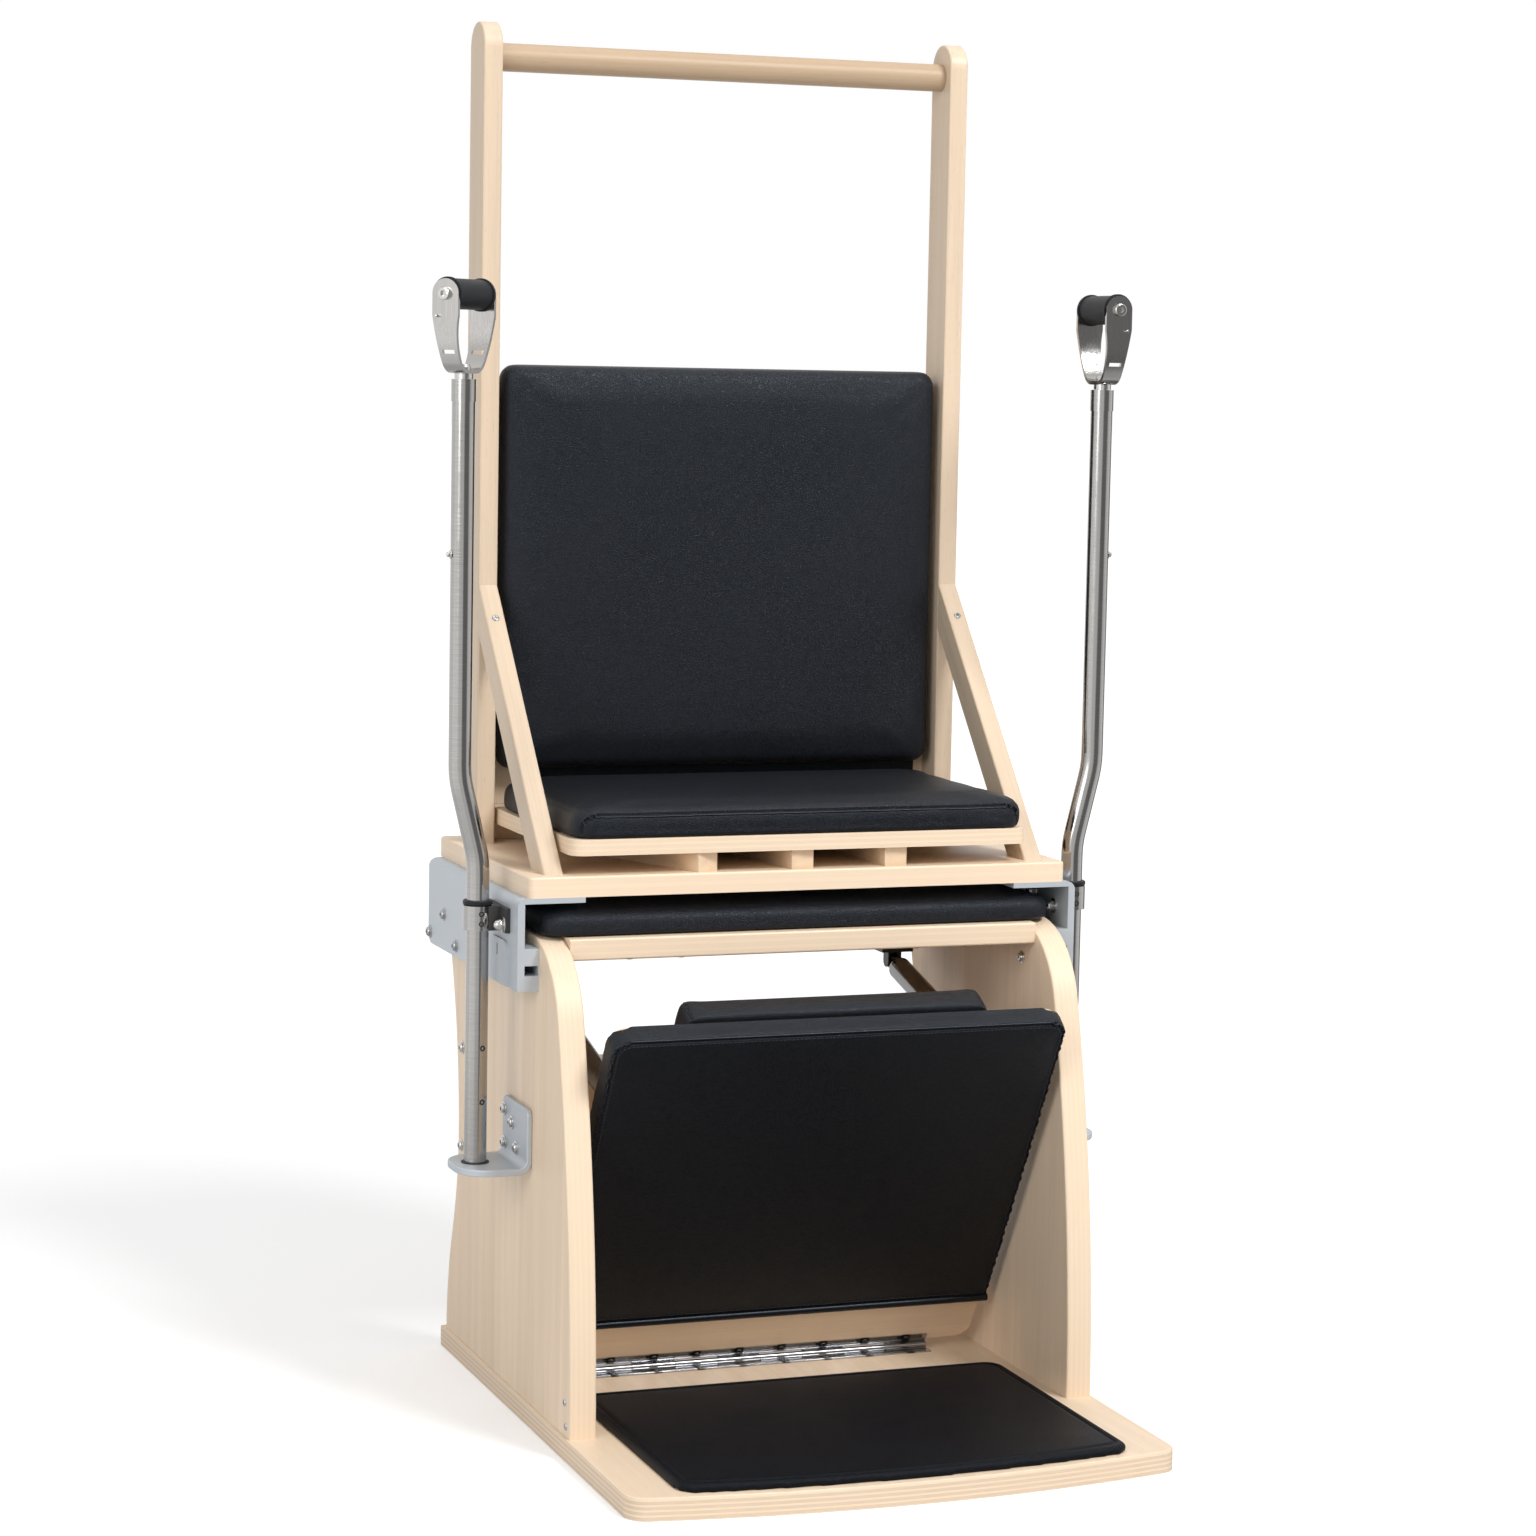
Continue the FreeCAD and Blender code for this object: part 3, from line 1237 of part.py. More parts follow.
    axle = new_body("grip_bolt_%s" % side)
    shank = sketch_on(axle, "profile", "XZ_Plane")
    outer = half + size.axle_head_tall
    draw(shank, [
        Corner(-outer, zero), Corner(outer, zero), Corner(outer, size.axle_head_radius),
        Corner(half, size.axle_head_radius), Corner(half, size.axle_radius), Corner(-half, size.axle_radius),
        Corner(-half, size.axle_head_radius), Corner(-outer, size.axle_head_radius),
    ])
    revolve(axle, "shank", shank, "H_Axis")

    for piece in (yoke, stem):
        place(piece, x, pole_y, z, Z_WAY, turn)
        keep(piece)
    for piece in (grip, axle):
        place(piece, x, pole_y, z + bolt, Z_WAY, turn)
        keep(piece)


def finish():
    """Check every object, then write each node to its own file."""
    doc.recompute()
    for thing in doc.Objects:
        if "Invalid" in thing.State or "Error" in thing.State:
            raise RuntimeError("%s failed: %s" % (thing.Label, thing.State))
    os.makedirs("parts", exist_ok=True)
    for node in nodes:
        if node.Shape.isNull() or not node.Shape.isValid() or len(node.Shape.Solids) != 1:
            raise RuntimeError("%s is not one sound solid" % node.Label)
    for node in nodes:
        node.Shape.exportStep("parts/%s.step" % node.Label)
    print("%d nodes written" % len(nodes))


make_base()
strut_rail_y, strut_rail_low = make_panels()
make_brackets()
make_bench()
make_hinge()
make_pedal()
make_struts(strut_rail_y, strut_rail_low)
handle_x, handle_z = make_poles()
make_yoke("left", handle_x, handle_z, size.yoke_left_angle)
make_yoke("right", -handle_x, handle_z, size.yoke_right_angle)
finish()
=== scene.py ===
"""Looks of a high-back pilates chair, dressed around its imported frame.

The origin lies on the base board's underside, on its centre line. The front faces -Y and Z is up.
All lengths are metres.
"""
import logging
import math
from dataclasses import dataclass, field
from enum import Enum
from typing import Callable, Sequence

import bmesh
import bpy
from mathutils import Matrix, Vector
from mathutils.kdtree import KDTree


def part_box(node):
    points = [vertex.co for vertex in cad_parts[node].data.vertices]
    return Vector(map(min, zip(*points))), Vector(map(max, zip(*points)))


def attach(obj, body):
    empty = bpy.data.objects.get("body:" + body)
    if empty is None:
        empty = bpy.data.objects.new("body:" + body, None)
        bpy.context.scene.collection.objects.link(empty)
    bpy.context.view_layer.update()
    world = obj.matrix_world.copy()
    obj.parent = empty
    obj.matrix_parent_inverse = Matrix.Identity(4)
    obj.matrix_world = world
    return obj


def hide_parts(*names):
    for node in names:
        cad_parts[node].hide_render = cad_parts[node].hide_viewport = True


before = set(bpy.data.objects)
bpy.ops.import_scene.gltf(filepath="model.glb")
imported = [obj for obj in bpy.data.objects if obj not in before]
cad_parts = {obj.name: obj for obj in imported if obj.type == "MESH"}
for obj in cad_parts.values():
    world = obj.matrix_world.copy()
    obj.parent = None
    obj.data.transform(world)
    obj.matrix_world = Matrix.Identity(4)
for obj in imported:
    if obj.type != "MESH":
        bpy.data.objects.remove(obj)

log = logging.getLogger("pilates_chair")
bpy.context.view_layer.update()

Colour = tuple[float, float, float]
Point = tuple[float, float, float]

# Places that more than one sub-assembly uses, as on the frame.
FOOT_Y = -0.1385
PANEL_INNER = 0.2767
PANEL_OUTER = 0.3067
WEB_OUTER = 0.3317
WEB_INNER = 0.3237
BENCH_TOP = 0.6138
POLE_X = 0.358
POLE_UPPER_X = 0.38
POLE_Y = 0.0605
POLE_TOP = 1.1502
GRIP_Z = 1.2412
HINGE = Vector((0.0, 0.1085, 0.0284))
PEDAL_LEAN = math.radians(30.0)
PEDAL_FRAME = Matrix.Translation(HINGE) @ Matrix.Rotation(PEDAL_LEAN, 4, "X")
HINGE_PITCH = 0.052
YOKE_TURNS = {"left": math.radians(44.0), "right": math.radians(-90.0)}
SIDES = {"left": -1.0, "right": 1.0}
SIM_FRAMES = 20
SEAM_STEP = 0.0012
STITCH_RADIUS = 0.0006
STITCH_BEVEL = 0.0002
STITCH_LIFT = 0.00025
STITCH_SHARE = 0.34


class Graph:
    """A node tree with short calls that add, set and link its nodes."""

    def __init__(self, tree: bpy.types.NodeTree) -> None:
        """Keep the tree that the nodes go into."""
        self.tree = tree

    def add(self, kind: str, inputs: dict | None = None, **settings: object) -> bpy.types.Node:
        """Add one node.

        Args:
            kind: The node's type name.
            inputs: Values or sockets for its inputs, by name or number.
            settings: Properties of the node.

        Returns:
            The new node.
        """
        node = self.tree.nodes.new(kind)
        for name, value in settings.items():
            setattr(node, name, value)
        for key, value in (inputs or {}).items():
            if isinstance(value, bpy.types.NodeSocket):
                self.tree.links.new(value, node.inputs[key])
            else:
                node.inputs[key].default_value = value
        return node

    def math(self, operation: str, first: object, second: object = 0.0) -> bpy.types.NodeSocket:
        """Return the result of a two-value sum, with no clamp."""
        return self.add("ShaderNodeMath", {0: first, 1: second}, operation=operation).outputs[0]

    def span(self, value: object, low: float, high: float, to: tuple[float, float] = (0.0, 1.0)
             ) -> bpy.types.NodeSocket:
        """Return value mapped smoothly from low..high to the range in to."""
        node = self.add("ShaderNodeMapRange", {"Value": value, "From Min": low, "From Max": high,
                                               "To Min": to[0], "To Max": to[1]},
                        interpolation_type="SMOOTHSTEP")
        return node.outputs["Result"]

    def noise(self, vector: object, scale: float, detail: float = 3.0, distortion: float = 0.0
              ) -> bpy.types.NodeSocket:
        """Return a noise value over vector."""
        node = self.add("ShaderNodeTexNoise", {"Vector": vector, "Scale": scale, "Detail": detail,
                                               "Distortion": distortion})
        return node.outputs["Fac"]

    def mix(self, factor: object, first: object, second: object) -> bpy.types.NodeSocket:
        """Return a colour between first and second."""
        node = self.add("ShaderNodeMix", data_type="RGBA")
        for socket, value in (("Factor", factor), ("A", first), ("B", second)):
            target = next(item for item in node.inputs if item.name == socket
                          and item.type == ("VALUE" if socket == "Factor" else "RGBA"))
            if isinstance(value, bpy.types.NodeSocket):
                self.tree.links.new(value, target)
            else:
                target.default_value = value if socket == "Factor" else (*value, 1.0)
        return next(item for item in node.outputs if item.type == "RGBA")

    def stretch(self, vector: object, scale: Point, rotation: Point = (0.0, 0.0, 0.0)
                ) -> bpy.types.NodeSocket:
        """Return vector scaled along each axis and then turned."""
        node = self.add("ShaderNodeMapping", {"Vector": vector, "Scale": scale, "Rotation": rotation})
        return node.outputs["Vector"]

    def dot(self, vector: object, axis: Point) -> bpy.types.NodeSocket:
        """Return the part of vector that lies along axis."""
        node = self.add("ShaderNodeVectorMath", {0: vector, 1: axis}, operation="DOT_PRODUCT")
        return node.outputs["Value"]

    def bump(self, height: object, strength: float, distance: float) -> bpy.types.NodeSocket:
        """Return a normal that height raises."""
        node = self.add("ShaderNodeBump", {"Height": height, "Strength": strength,
                                           "Distance": distance})
        return node.outputs["Normal"]


def shader_group(name: str, inputs: Sequence[tuple[str, str]], outputs: Sequence[str],
                 fill: Callable[[Graph, dict], dict]) -> bpy.types.NodeTree:
    """Build a shader node group once and return it.

    Args:
        name: The group's name.
        inputs: Names and socket kinds of its inputs.
        outputs: Names of its value outputs.
        fill: Takes the graph and the input sockets, and returns the output values by name.

    Returns:
        The group's node tree.
    """
    if name in bpy.data.node_groups:
        return bpy.data.node_groups[name]
    tree = bpy.data.node_groups.new(name, "ShaderNodeTree")
    for socket, kind in inputs:
        tree.interface.new_socket(socket, in_out="INPUT", socket_type=kind)
    for socket in outputs:
        tree.interface.new_socket(socket, in_out="OUTPUT", socket_type="NodeSocketFloat")
    graph = Graph(tree)
    taken = graph.add("NodeGroupInput")
    given = fill(graph, {item.name: item for item in taken.outputs if item.name})
    graph.add("NodeGroupOutput", given)
    return tree


def grain_group() -> bpy.types.NodeTree:
    """Return the group for wood figure, with the grain along Z."""

    def fill(graph: Graph, given: dict) -> dict:
        """Wire the broad figure, the fine fibres and the short pores."""
        vector = given["Vector"]
        figure = graph.noise(graph.stretch(vector, (9.0, 9.0, 0.55)), 1.0, 3.0, 0.6)
        rings = graph.noise(graph.stretch(vector, (46.0, 46.0, 1.6)), 1.0, 4.0, 0.4)
        fibre = graph.noise(graph.stretch(vector, (420.0, 420.0, 9.0)), 1.0, 3.0)
        pores = graph.noise(graph.stretch(vector, (950.0, 950.0, 70.0)), 1.0, 1.0)
        return {"Figure": graph.span(figure, 0.3, 0.7), "Rings": graph.span(rings, 0.35, 0.68),
                "Fibre": graph.span(fibre, 0.3, 0.7), "Pores": graph.span(pores, 0.66, 0.78)}

    return shader_group("wood_figure", [("Vector", "NodeSocketVector")],
                        ["Figure", "Rings", "Fibre", "Pores"], fill)


def plies_group() -> bpy.types.NodeTree:
    """Return the group for the glued layers that show on a board's cut edges."""

    def fill(graph: Graph, given: dict) -> dict:
        """Wire alternate layers, their glue lines and a mask of the cut edges."""
        wobble = graph.math("MULTIPLY", graph.noise(given["Vector"], 14.0, 2.0), 0.0006)
        depth = graph.math("ADD", given["Depth"], wobble)
        turn = graph.math("DIVIDE", depth, given["Layer"])
        swing = graph.math("PINGPONG", turn, 1.0)
        band = graph.span(swing, 0.32, 0.68)
        near = graph.math("ABSOLUTE", graph.math("SUBTRACT", swing, 0.5))
        line = graph.span(near, 0.0, 0.16, (1.0, 0.0))
        facing = graph.math("ABSOLUTE", given["Facing"])
        return {"Edge": graph.span(facing, 0.55, 0.8, (1.0, 0.0)), "Band": band, "Line": line}

    return shader_group("glued_layers", [("Vector", "NodeSocketVector"), ("Depth", "NodeSocketFloat"),
                                         ("Layer", "NodeSocketFloat"), ("Facing", "NodeSocketFloat")],
                        ["Edge", "Band", "Line"], fill)


def pebble_group() -> bpy.types.NodeTree:
    """Return the group for the pressed grain of vinyl and rubber."""

    def fill(graph: Graph, given: dict) -> dict:
        """Wire the pebbles, the fine creases between them and slow changes of tone."""
        vector = given["Vector"]
        warp = graph.add("ShaderNodeVectorMath", {
            0: vector, 1: graph.add("ShaderNodeVectorMath", {
                0: graph.add("ShaderNodeTexNoise", {"Vector": vector, "Scale": 160.0}).outputs["Color"],
                3: 0.0016}, operation="SCALE").outputs["Vector"]}, operation="ADD").outputs["Vector"]
        cells = graph.add("ShaderNodeTexVoronoi", {"Vector": warp, "Scale": given["Cells"]},
                          feature="DISTANCE_TO_EDGE").outputs["Distance"]
        pebble = graph.span(cells, 0.0, 0.32)
        crease = graph.noise(vector, 210.0, 5.0, 0.7)
        tone = graph.noise(vector, 6.5, 4.0, 0.3)
        height = graph.math("ADD", graph.math("MULTIPLY", pebble, 0.6),
                            graph.math("MULTIPLY", crease, 0.55))
        return {"Height": height, "Pebble": pebble, "Tone": graph.span(tone, 0.32, 0.68)}

    return shader_group("pressed_grain", [("Vector", "NodeSocketVector"), ("Cells", "NodeSocketFloat")],
                        ["Height", "Pebble", "Tone"], fill)


def brushed_group() -> bpy.types.NodeTree:
    """Return the group for brush lines and hand smudges on metal."""

    def fill(graph: Graph, given: dict) -> dict:
        """Wire lines drawn along the vector's slow axis, and broad smudges."""
        streak = graph.noise(given["Lines"], 1.0, 4.0)
        smudge = graph.noise(given["Vector"], 16.0, 5.0, 0.5)
        return {"Streak": graph.span(streak, 0.3, 0.7), "Smudge": graph.span(smudge, 0.35, 0.7)}

    return shader_group("brush_lines", [("Vector", "NodeSocketVector"), ("Lines", "NodeSocketVector")],
                        ["Streak", "Smudge"], fill)


def coat_group() -> bpy.types.NodeTree:
    """Return the group for the fine orange peel of powder coat and moulded plastic."""

    def fill(graph: Graph, given: dict) -> dict:
        """Wire the peel, its specks and slow changes of tone."""
        peel = graph.noise(given["Vector"], given["Peel"], 2.0)
        speck = graph.noise(given["Vector"], 1900.0, 1.0)
        tone = graph.noise(given["Vector"], 11.0, 4.0, 0.4)
        return {"Peel": peel, "Speck": graph.span(speck, 0.6, 0.75), "Tone": graph.span(tone, 0.3, 0.7)}

    return shader_group("coat_peel", [("Vector", "NodeSocketVector"), ("Peel", "NodeSocketFloat")],
                        ["Peel", "Speck", "Tone"], fill)


@dataclass(frozen=True)
class Finish:
    """A finish that becomes one material.

    Attributes:
        name: The material's name.
        colour: Its main linear colour.
        roughness: Its middle roughness.
    """

    name: str
    colour: Colour
    roughness: float

    def shade(self, amount: float) -> Colour:
        """Return the main colour, made lighter or darker by amount."""
        return tuple(min(channel * amount, 1.0) for channel in self.colour)

    def material(self) -> bpy.types.Material:
        """Return the finish's material, built on first use."""
        if self.name in bpy.data.materials:
            return bpy.data.materials[self.name]
        material = bpy.data.materials.new(self.name)
        material.use_nodes = True
        material.node_tree.nodes.clear()
        graph = Graph(material.node_tree)
        shader = graph.add("ShaderNodeBsdfPrincipled")
        self.wire(graph, shader, graph.add("ShaderNodeTexCoord"))
        graph.add("ShaderNodeOutputMaterial", {"Surface": shader.outputs["BSDF"]})
        material.diffuse_color = (*self.colour, 1.0)
        return material

    def wire(self, graph: Graph, shader: bpy.types.Node, place: bpy.types.Node) -> None:
        """Wire the finish's nodes into the shader; each kind of finish has its own."""
        raise NotImplementedError

    def join(self, graph: Graph, shader: bpy.types.Node, colour: object, roughness: object,
             normal: object) -> None:
        """Link the three channels that vary over the surface."""
        for socket, value in (("Base Color", colour), ("Roughness", roughness), ("Normal", normal)):
            graph.tree.links.new(value, shader.inputs[socket])


@dataclass(frozen=True)
class Wood(Finish):
    """Lacquered wood, solid or glued from layers.

    Attributes:
        grain: Direction of the grain.
        through: Direction through the board, for a board of glued layers.
        low: Where the board starts along that direction.
        layer: Thickness of one layer, or 0 for solid wood.
        contrast: How plainly the layers show.
    """

    grain: Point = (0.0, 0.0, 1.0)
    through: Point = (1.0, 0.0, 0.0)
    low: float = 0.0
    layer: float = 0.0
    contrast: float = 1.0

    def wire(self, graph: Graph, shader: bpy.types.Node, place: bpy.types.Node) -> None:
        """Wire the grain, and the layers where the board has them."""
        here = place.outputs["Object"]
        turn = Vector(self.grain).rotation_difference(Vector((0.0, 0.0, 1.0))).to_euler()
        along = graph.stretch(here, (1.0, 1.0, 1.0), tuple(turn))
        grain = graph.add("ShaderNodeGroup", node_tree=grain_group())
        graph.tree.links.new(along, grain.inputs["Vector"])
        broad = graph.mix(grain.outputs["Figure"], self.shade(1.05), self.shade(0.92))
        ringed = graph.mix(graph.math("MULTIPLY", grain.outputs["Rings"], 0.6), broad, self.shade(0.84))
        fine = graph.mix(graph.math("MULTIPLY", grain.outputs["Fibre"], 0.3), ringed, self.shade(1.1))
        colour = graph.mix(graph.math("MULTIPLY", grain.outputs["Pores"], 0.35), fine, self.shade(0.6))
        height = graph.math("SUBTRACT", graph.math("MULTIPLY", grain.outputs["Fibre"], 0.5),
                            grain.outputs["Pores"])
        if self.layer:
            plies = graph.add("ShaderNodeGroup", {
                "Vector": here, "Layer": self.layer,
                "Depth": graph.math("SUBTRACT", graph.dot(here, self.through), self.low),
                "Facing": graph.dot(place.outputs["Normal"], self.through),
            }, node_tree=plies_group())
            edge = plies.outputs["Edge"]
            band = graph.mix(graph.math("MULTIPLY", plies.outputs["Band"], self.contrast),
                             self.shade(1.02), self.shade(0.7))
            lined = graph.mix(graph.math("MULTIPLY", plies.outputs["Line"], 0.5 * self.contrast), band,
                              self.shade(0.42))
            speck = graph.mix(graph.math("MULTIPLY", grain.outputs["Rings"], 0.35), lined, colour)
            colour = graph.mix(edge, colour, speck)
            groove = graph.math("MULTIPLY", plies.outputs["Line"], edge)
            height = graph.math("SUBTRACT", height, graph.math("MULTIPLY", groove, self.contrast))
        rough = graph.span(grain.outputs["Figure"], 0.0, 1.0,
                           (self.roughness - 0.05, self.roughness + 0.06))
        shader.inputs["Specular IOR Level"].default_value = 0.3
        shader.inputs["Coat Weight"].default_value = 0.05
        shader.inputs["Coat Roughness"].default_value = 0.3
        self.join(graph, shader, colour, rough, graph.bump(height, 0.18, 0.0003))


@dataclass(frozen=True)
class Vinyl(Finish):
    """Grained vinyl or rubber.

    Attributes:
        cells: Pebbles in a metre.
        relief: How strongly the grain stands out.
        shine: Level of its plain gloss.
    """

    cells: float = 620.0
    relief: float = 0.8
    shine: float = 0.3

    def wire(self, graph: Graph, shader: bpy.types.Node, place: bpy.types.Node) -> None:
        """Wire the pressed grain into colour, gloss and relief."""
        grain = graph.add("ShaderNodeGroup", {"Vector": place.outputs["Object"], "Cells": self.cells},
                          node_tree=pebble_group())
        slow = graph.mix(grain.outputs["Tone"], self.shade(0.88), self.shade(1.12))
        colour = graph.mix(grain.outputs["Pebble"], self.shade(0.7), slow)
        rough = graph.span(grain.outputs["Tone"], 0.0, 1.0, (self.roughness - 0.02, self.roughness + 0.03))
        shader.inputs["Specular IOR Level"].default_value = self.shine
        shader.inputs["Specular Tint"].default_value = (0.8, 0.88, 1.0, 1.0)
        self.join(graph, shader, colour, rough, graph.bump(grain.outputs["Height"], self.relief, 0.0005))


@dataclass(frozen=True)
class Metal(Finish):
    """Bare or plated metal with brush lines.

    Attributes:
        lines: Scale of the lines along each axis; the smallest runs along them.
        relief: How strongly the lines stand out.
    """

    lines: Point = (30.0, 30.0, 1600.0)
    relief: float = 0.05

    def wire(self, graph: Graph, shader: bpy.types.Node, place: bpy.types.Node) -> None:
        """Wire lines and smudges into colour, gloss and relief."""
        here = place.outputs["Object"]
        brush = graph.add("ShaderNodeGroup", {"Vector": here, "Lines": graph.stretch(here, self.lines)},
                          node_tree=brushed_group())
        colour = graph.mix(brush.outputs["Streak"], self.shade(0.9), self.shade(1.06))
        lined = graph.span(brush.outputs["Streak"], 0.0, 1.0, (-0.04, 0.05))
        dull = graph.span(brush.outputs["Smudge"], 0.0, 1.0, (self.roughness - 0.03, self.roughness + 0.05))
        shader.inputs["Metallic"].default_value = 1.0
        self.join(graph, shader, colour, graph.math("ADD", lined, dull),
                  graph.bump(brush.outputs["Streak"], self.relief, 0.0002))


@dataclass(frozen=True)
class Plated(Metal):
    """Plated metal of a long hinge, with painted shade on its leaves round the screws for the dark gaps at
    the knuckle ends.

    Attributes:
        pitch: Distance between the screws along X.
        spot: Half length of each patch of painted shade.
        barrel: Radius round the hinge line that is left without painted shade.
    """

    pitch: float = 0.05
    spot: float = 0.005
    barrel: float = 0.004

    def wire(self, graph: Graph, shader: bpy.types.Node, place: bpy.types.Node) -> None:
        """Wire the metal, and paint shade onto its leaves round the screws."""
        super().wire(graph, shader, place)
        here = place.outputs["Object"]
        # Painted shade: dark patches on the leaves at each screw stand for the shade in the gaps between the
        # knuckles.
        along = graph.math("PINGPONG", graph.dot(here, (1.0, 0.0, 0.0)), self.pitch / 2)
        ragged = graph.math("MULTIPLY", graph.noise(here, 420.0, 2.0), self.spot * 0.9)
        edge = self.pitch / 2 - self.spot * 1.4
        dark = graph.span(graph.math("ADD", along, ragged), edge, edge + self.spot * 0.9)
        away = graph.add("ShaderNodeVectorMath", {
            0: graph.add("ShaderNodeVectorMath", {
                0: graph.stretch(here, (0.0, 1.0, 1.0)), 1: tuple(HINGE)}, operation="SUBTRACT").outputs[0],
        }, operation="LENGTH").outputs["Value"]
        off = graph.span(away, self.barrel, self.barrel + 0.0006)
        unshaded_colour = shader.inputs["Base Color"].links[0].from_socket
        painted_gap_shade = graph.mix(graph.math("MULTIPLY", dark, off), unshaded_colour, self.shade(0.1))
        graph.tree.links.new(painted_gap_shade, shader.inputs["Base Color"])


@dataclass(frozen=True)
class Coat(Finish):
    """Powder coat or moulded plastic.

    Attributes:
        peel: Scale of the orange peel.
        relief: How strongly it stands out.
        shine: Level of its plain gloss.
    """

    peel: float = 700.0
    relief: float = 0.12
    shine: float = 0.4

    def wire(self, graph: Graph, shader: bpy.types.Node, place: bpy.types.Node) -> None:
        """Wire the peel, its specks and tone."""
        coat = graph.add("ShaderNodeGroup", {"Vector": place.outputs["Object"], "Peel": self.peel},
                         node_tree=coat_group())
        slow = graph.mix(coat.outputs["Tone"], self.shade(0.95), self.shade(1.05))
        colour = graph.mix(graph.math("MULTIPLY", coat.outputs["Speck"], 0.25), slow, self.shade(1.35))
        rough = graph.span(coat.outputs["Tone"], 0.0, 1.0, (self.roughness - 0.04, self.roughness + 0.05))
        shader.inputs["Specular IOR Level"].default_value = self.shine
        self.join(graph, shader, colour, rough, graph.bump(coat.outputs["Peel"], self.relief, 0.0003))


PALE = (0.84, 0.665, 0.49)
BEECH = (0.69, 0.545, 0.4)
LEANT = (0.0, math.cos(PEDAL_LEAN), math.sin(PEDAL_LEAN))
BRACE_WAY = (0.0, 0.671, 0.7415)
BASE_PLY = Wood("base_ply", PALE, 0.42, (0.0, 1.0, 0.0), (0.0, 0.0, 1.0), 0.0, 0.0027, 0.55)
PANEL_PLY = Wood("panel_ply", PALE, 0.42, (0.0, 0.0, 1.0), (1.0, 0.0, 0.0), PANEL_INNER, 0.003, 0.12)
SEAT_PLY = Wood("seat_ply", PALE, 0.42, (1.0, 0.0, 0.0), (0.0, 0.0, 1.0), 0.523, 0.004, 0.16)
BENCH_PLY = Wood("bench_ply", PALE, 0.42, (1.0, 0.0, 0.0), (0.0, 0.0, 1.0), 0.5908, 0.0058, 0.1)
BENCH_SEAT_PLY = Wood("bench_seat_ply", PALE, 0.42, (1.0, 0.0, 0.0), (0.0, 0.0, 1.0), 0.6358, 0.003, 0.25)
BACK_PLY = Wood("back_ply", PALE, 0.42, (0.0, 0.0, 1.0), (0.0, 1.0, 0.0), 0.321, 0.003, 0.8)
TIE_PLY = Wood("tie_ply", PALE, 0.42, (1.0, 0.0, 0.0), (0.0, 1.0, 0.0), 0.2865, 0.004, 0.6)
PEDAL_PLY = Wood("pedal_ply", PALE, 0.42, (1.0, 0.0, 0.0), LEANT, 0.0, 0.003, 0.8)
UPRIGHT_WOOD = Wood("upright_wood", BEECH, 0.4)
BRACE_WOOD = Wood("brace_wood", BEECH, 0.4, BRACE_WAY)
DOWEL_WOOD = Wood("dowel_wood", (0.5, 0.36, 0.235), 0.38, (1.0, 0.0, 0.0))
RISER_WOOD = Wood("riser_wood", (0.77, 0.575, 0.39), 0.48, (0.0, 1.0, 0.0))
BLACK_VINYL = Vinyl("black_vinyl", (0.0068, 0.0078, 0.0108), 0.42)
MAT_VINYL = Vinyl("mat_vinyl", (0.0058, 0.0066, 0.009), 0.46, 620.0, 0.8, 0.12)
WELT_VINYL = Vinyl("welt_vinyl", (0.0064, 0.0075, 0.0104), 0.3, 900.0, 0.2)
THREAD = Vinyl("black_thread", (0.034, 0.035, 0.039), 0.5, 2600.0, 0.5)
GRIP_RUBBER = Vinyl("grip_rubber", (0.017, 0.017, 0.018), 0.5, 1400.0, 0.2)
RING_RUBBER = Vinyl("ring_rubber", (0.012, 0.012, 0.013), 0.42, 1800.0, 0.15)
GREY_COAT = Coat("grey_coat", (0.475, 0.515, 0.59), 0.42, 700.0, 0.2, 0.01)
BLACK_PLASTIC = Coat("black_plastic", (0.014, 0.014, 0.015), 0.45, 1100.0, 0.2)
DARK_COAT = Coat("dark_coat", (0.02, 0.02, 0.021), 0.33, 900.0, 0.1)
POLE_STEEL = Metal("pole_steel", (0.43, 0.418, 0.405), 0.14, (40.0, 40.0, 2600.0), 0.0008)
YOKE_STEEL = Metal("yoke_steel", (0.5, 0.485, 0.47), 0.13, (1500.0, 1500.0, 24.0), 0.003)
BRIGHT_STEEL = Metal("bright_steel", (0.6, 0.59, 0.575), 0.16, (700.0, 700.0, 700.0), 0.002)
SCREW_STEEL = Metal("screw_steel", (0.13, 0.125, 0.12), 0.24, (900.0, 900.0, 900.0), 0.002)
BOLT_STEEL = Metal("bolt_steel", (0.42, 0.42, 0.425), 0.26, (900.0, 900.0, 900.0), 0.002)
HINGE_CHROME = Plated("hinge_chrome", (0.4, 0.4, 0.41), 0.16, (18.0, 900.0, 900.0), 0.0004,
                      HINGE_PITCH, 0.0036, 0.0043)
STRUT_CHROME = Metal("strut_chrome", (0.24, 0.24, 0.245), 0.13, (40.0, 1200.0, 40.0), 0.001)


def sided(*stems: str) -> list[str]:
    """Return the left-hand and right-hand names of each stem."""
    return ["%s_%s" % (stem, side) for stem in stems for side in SIDES]


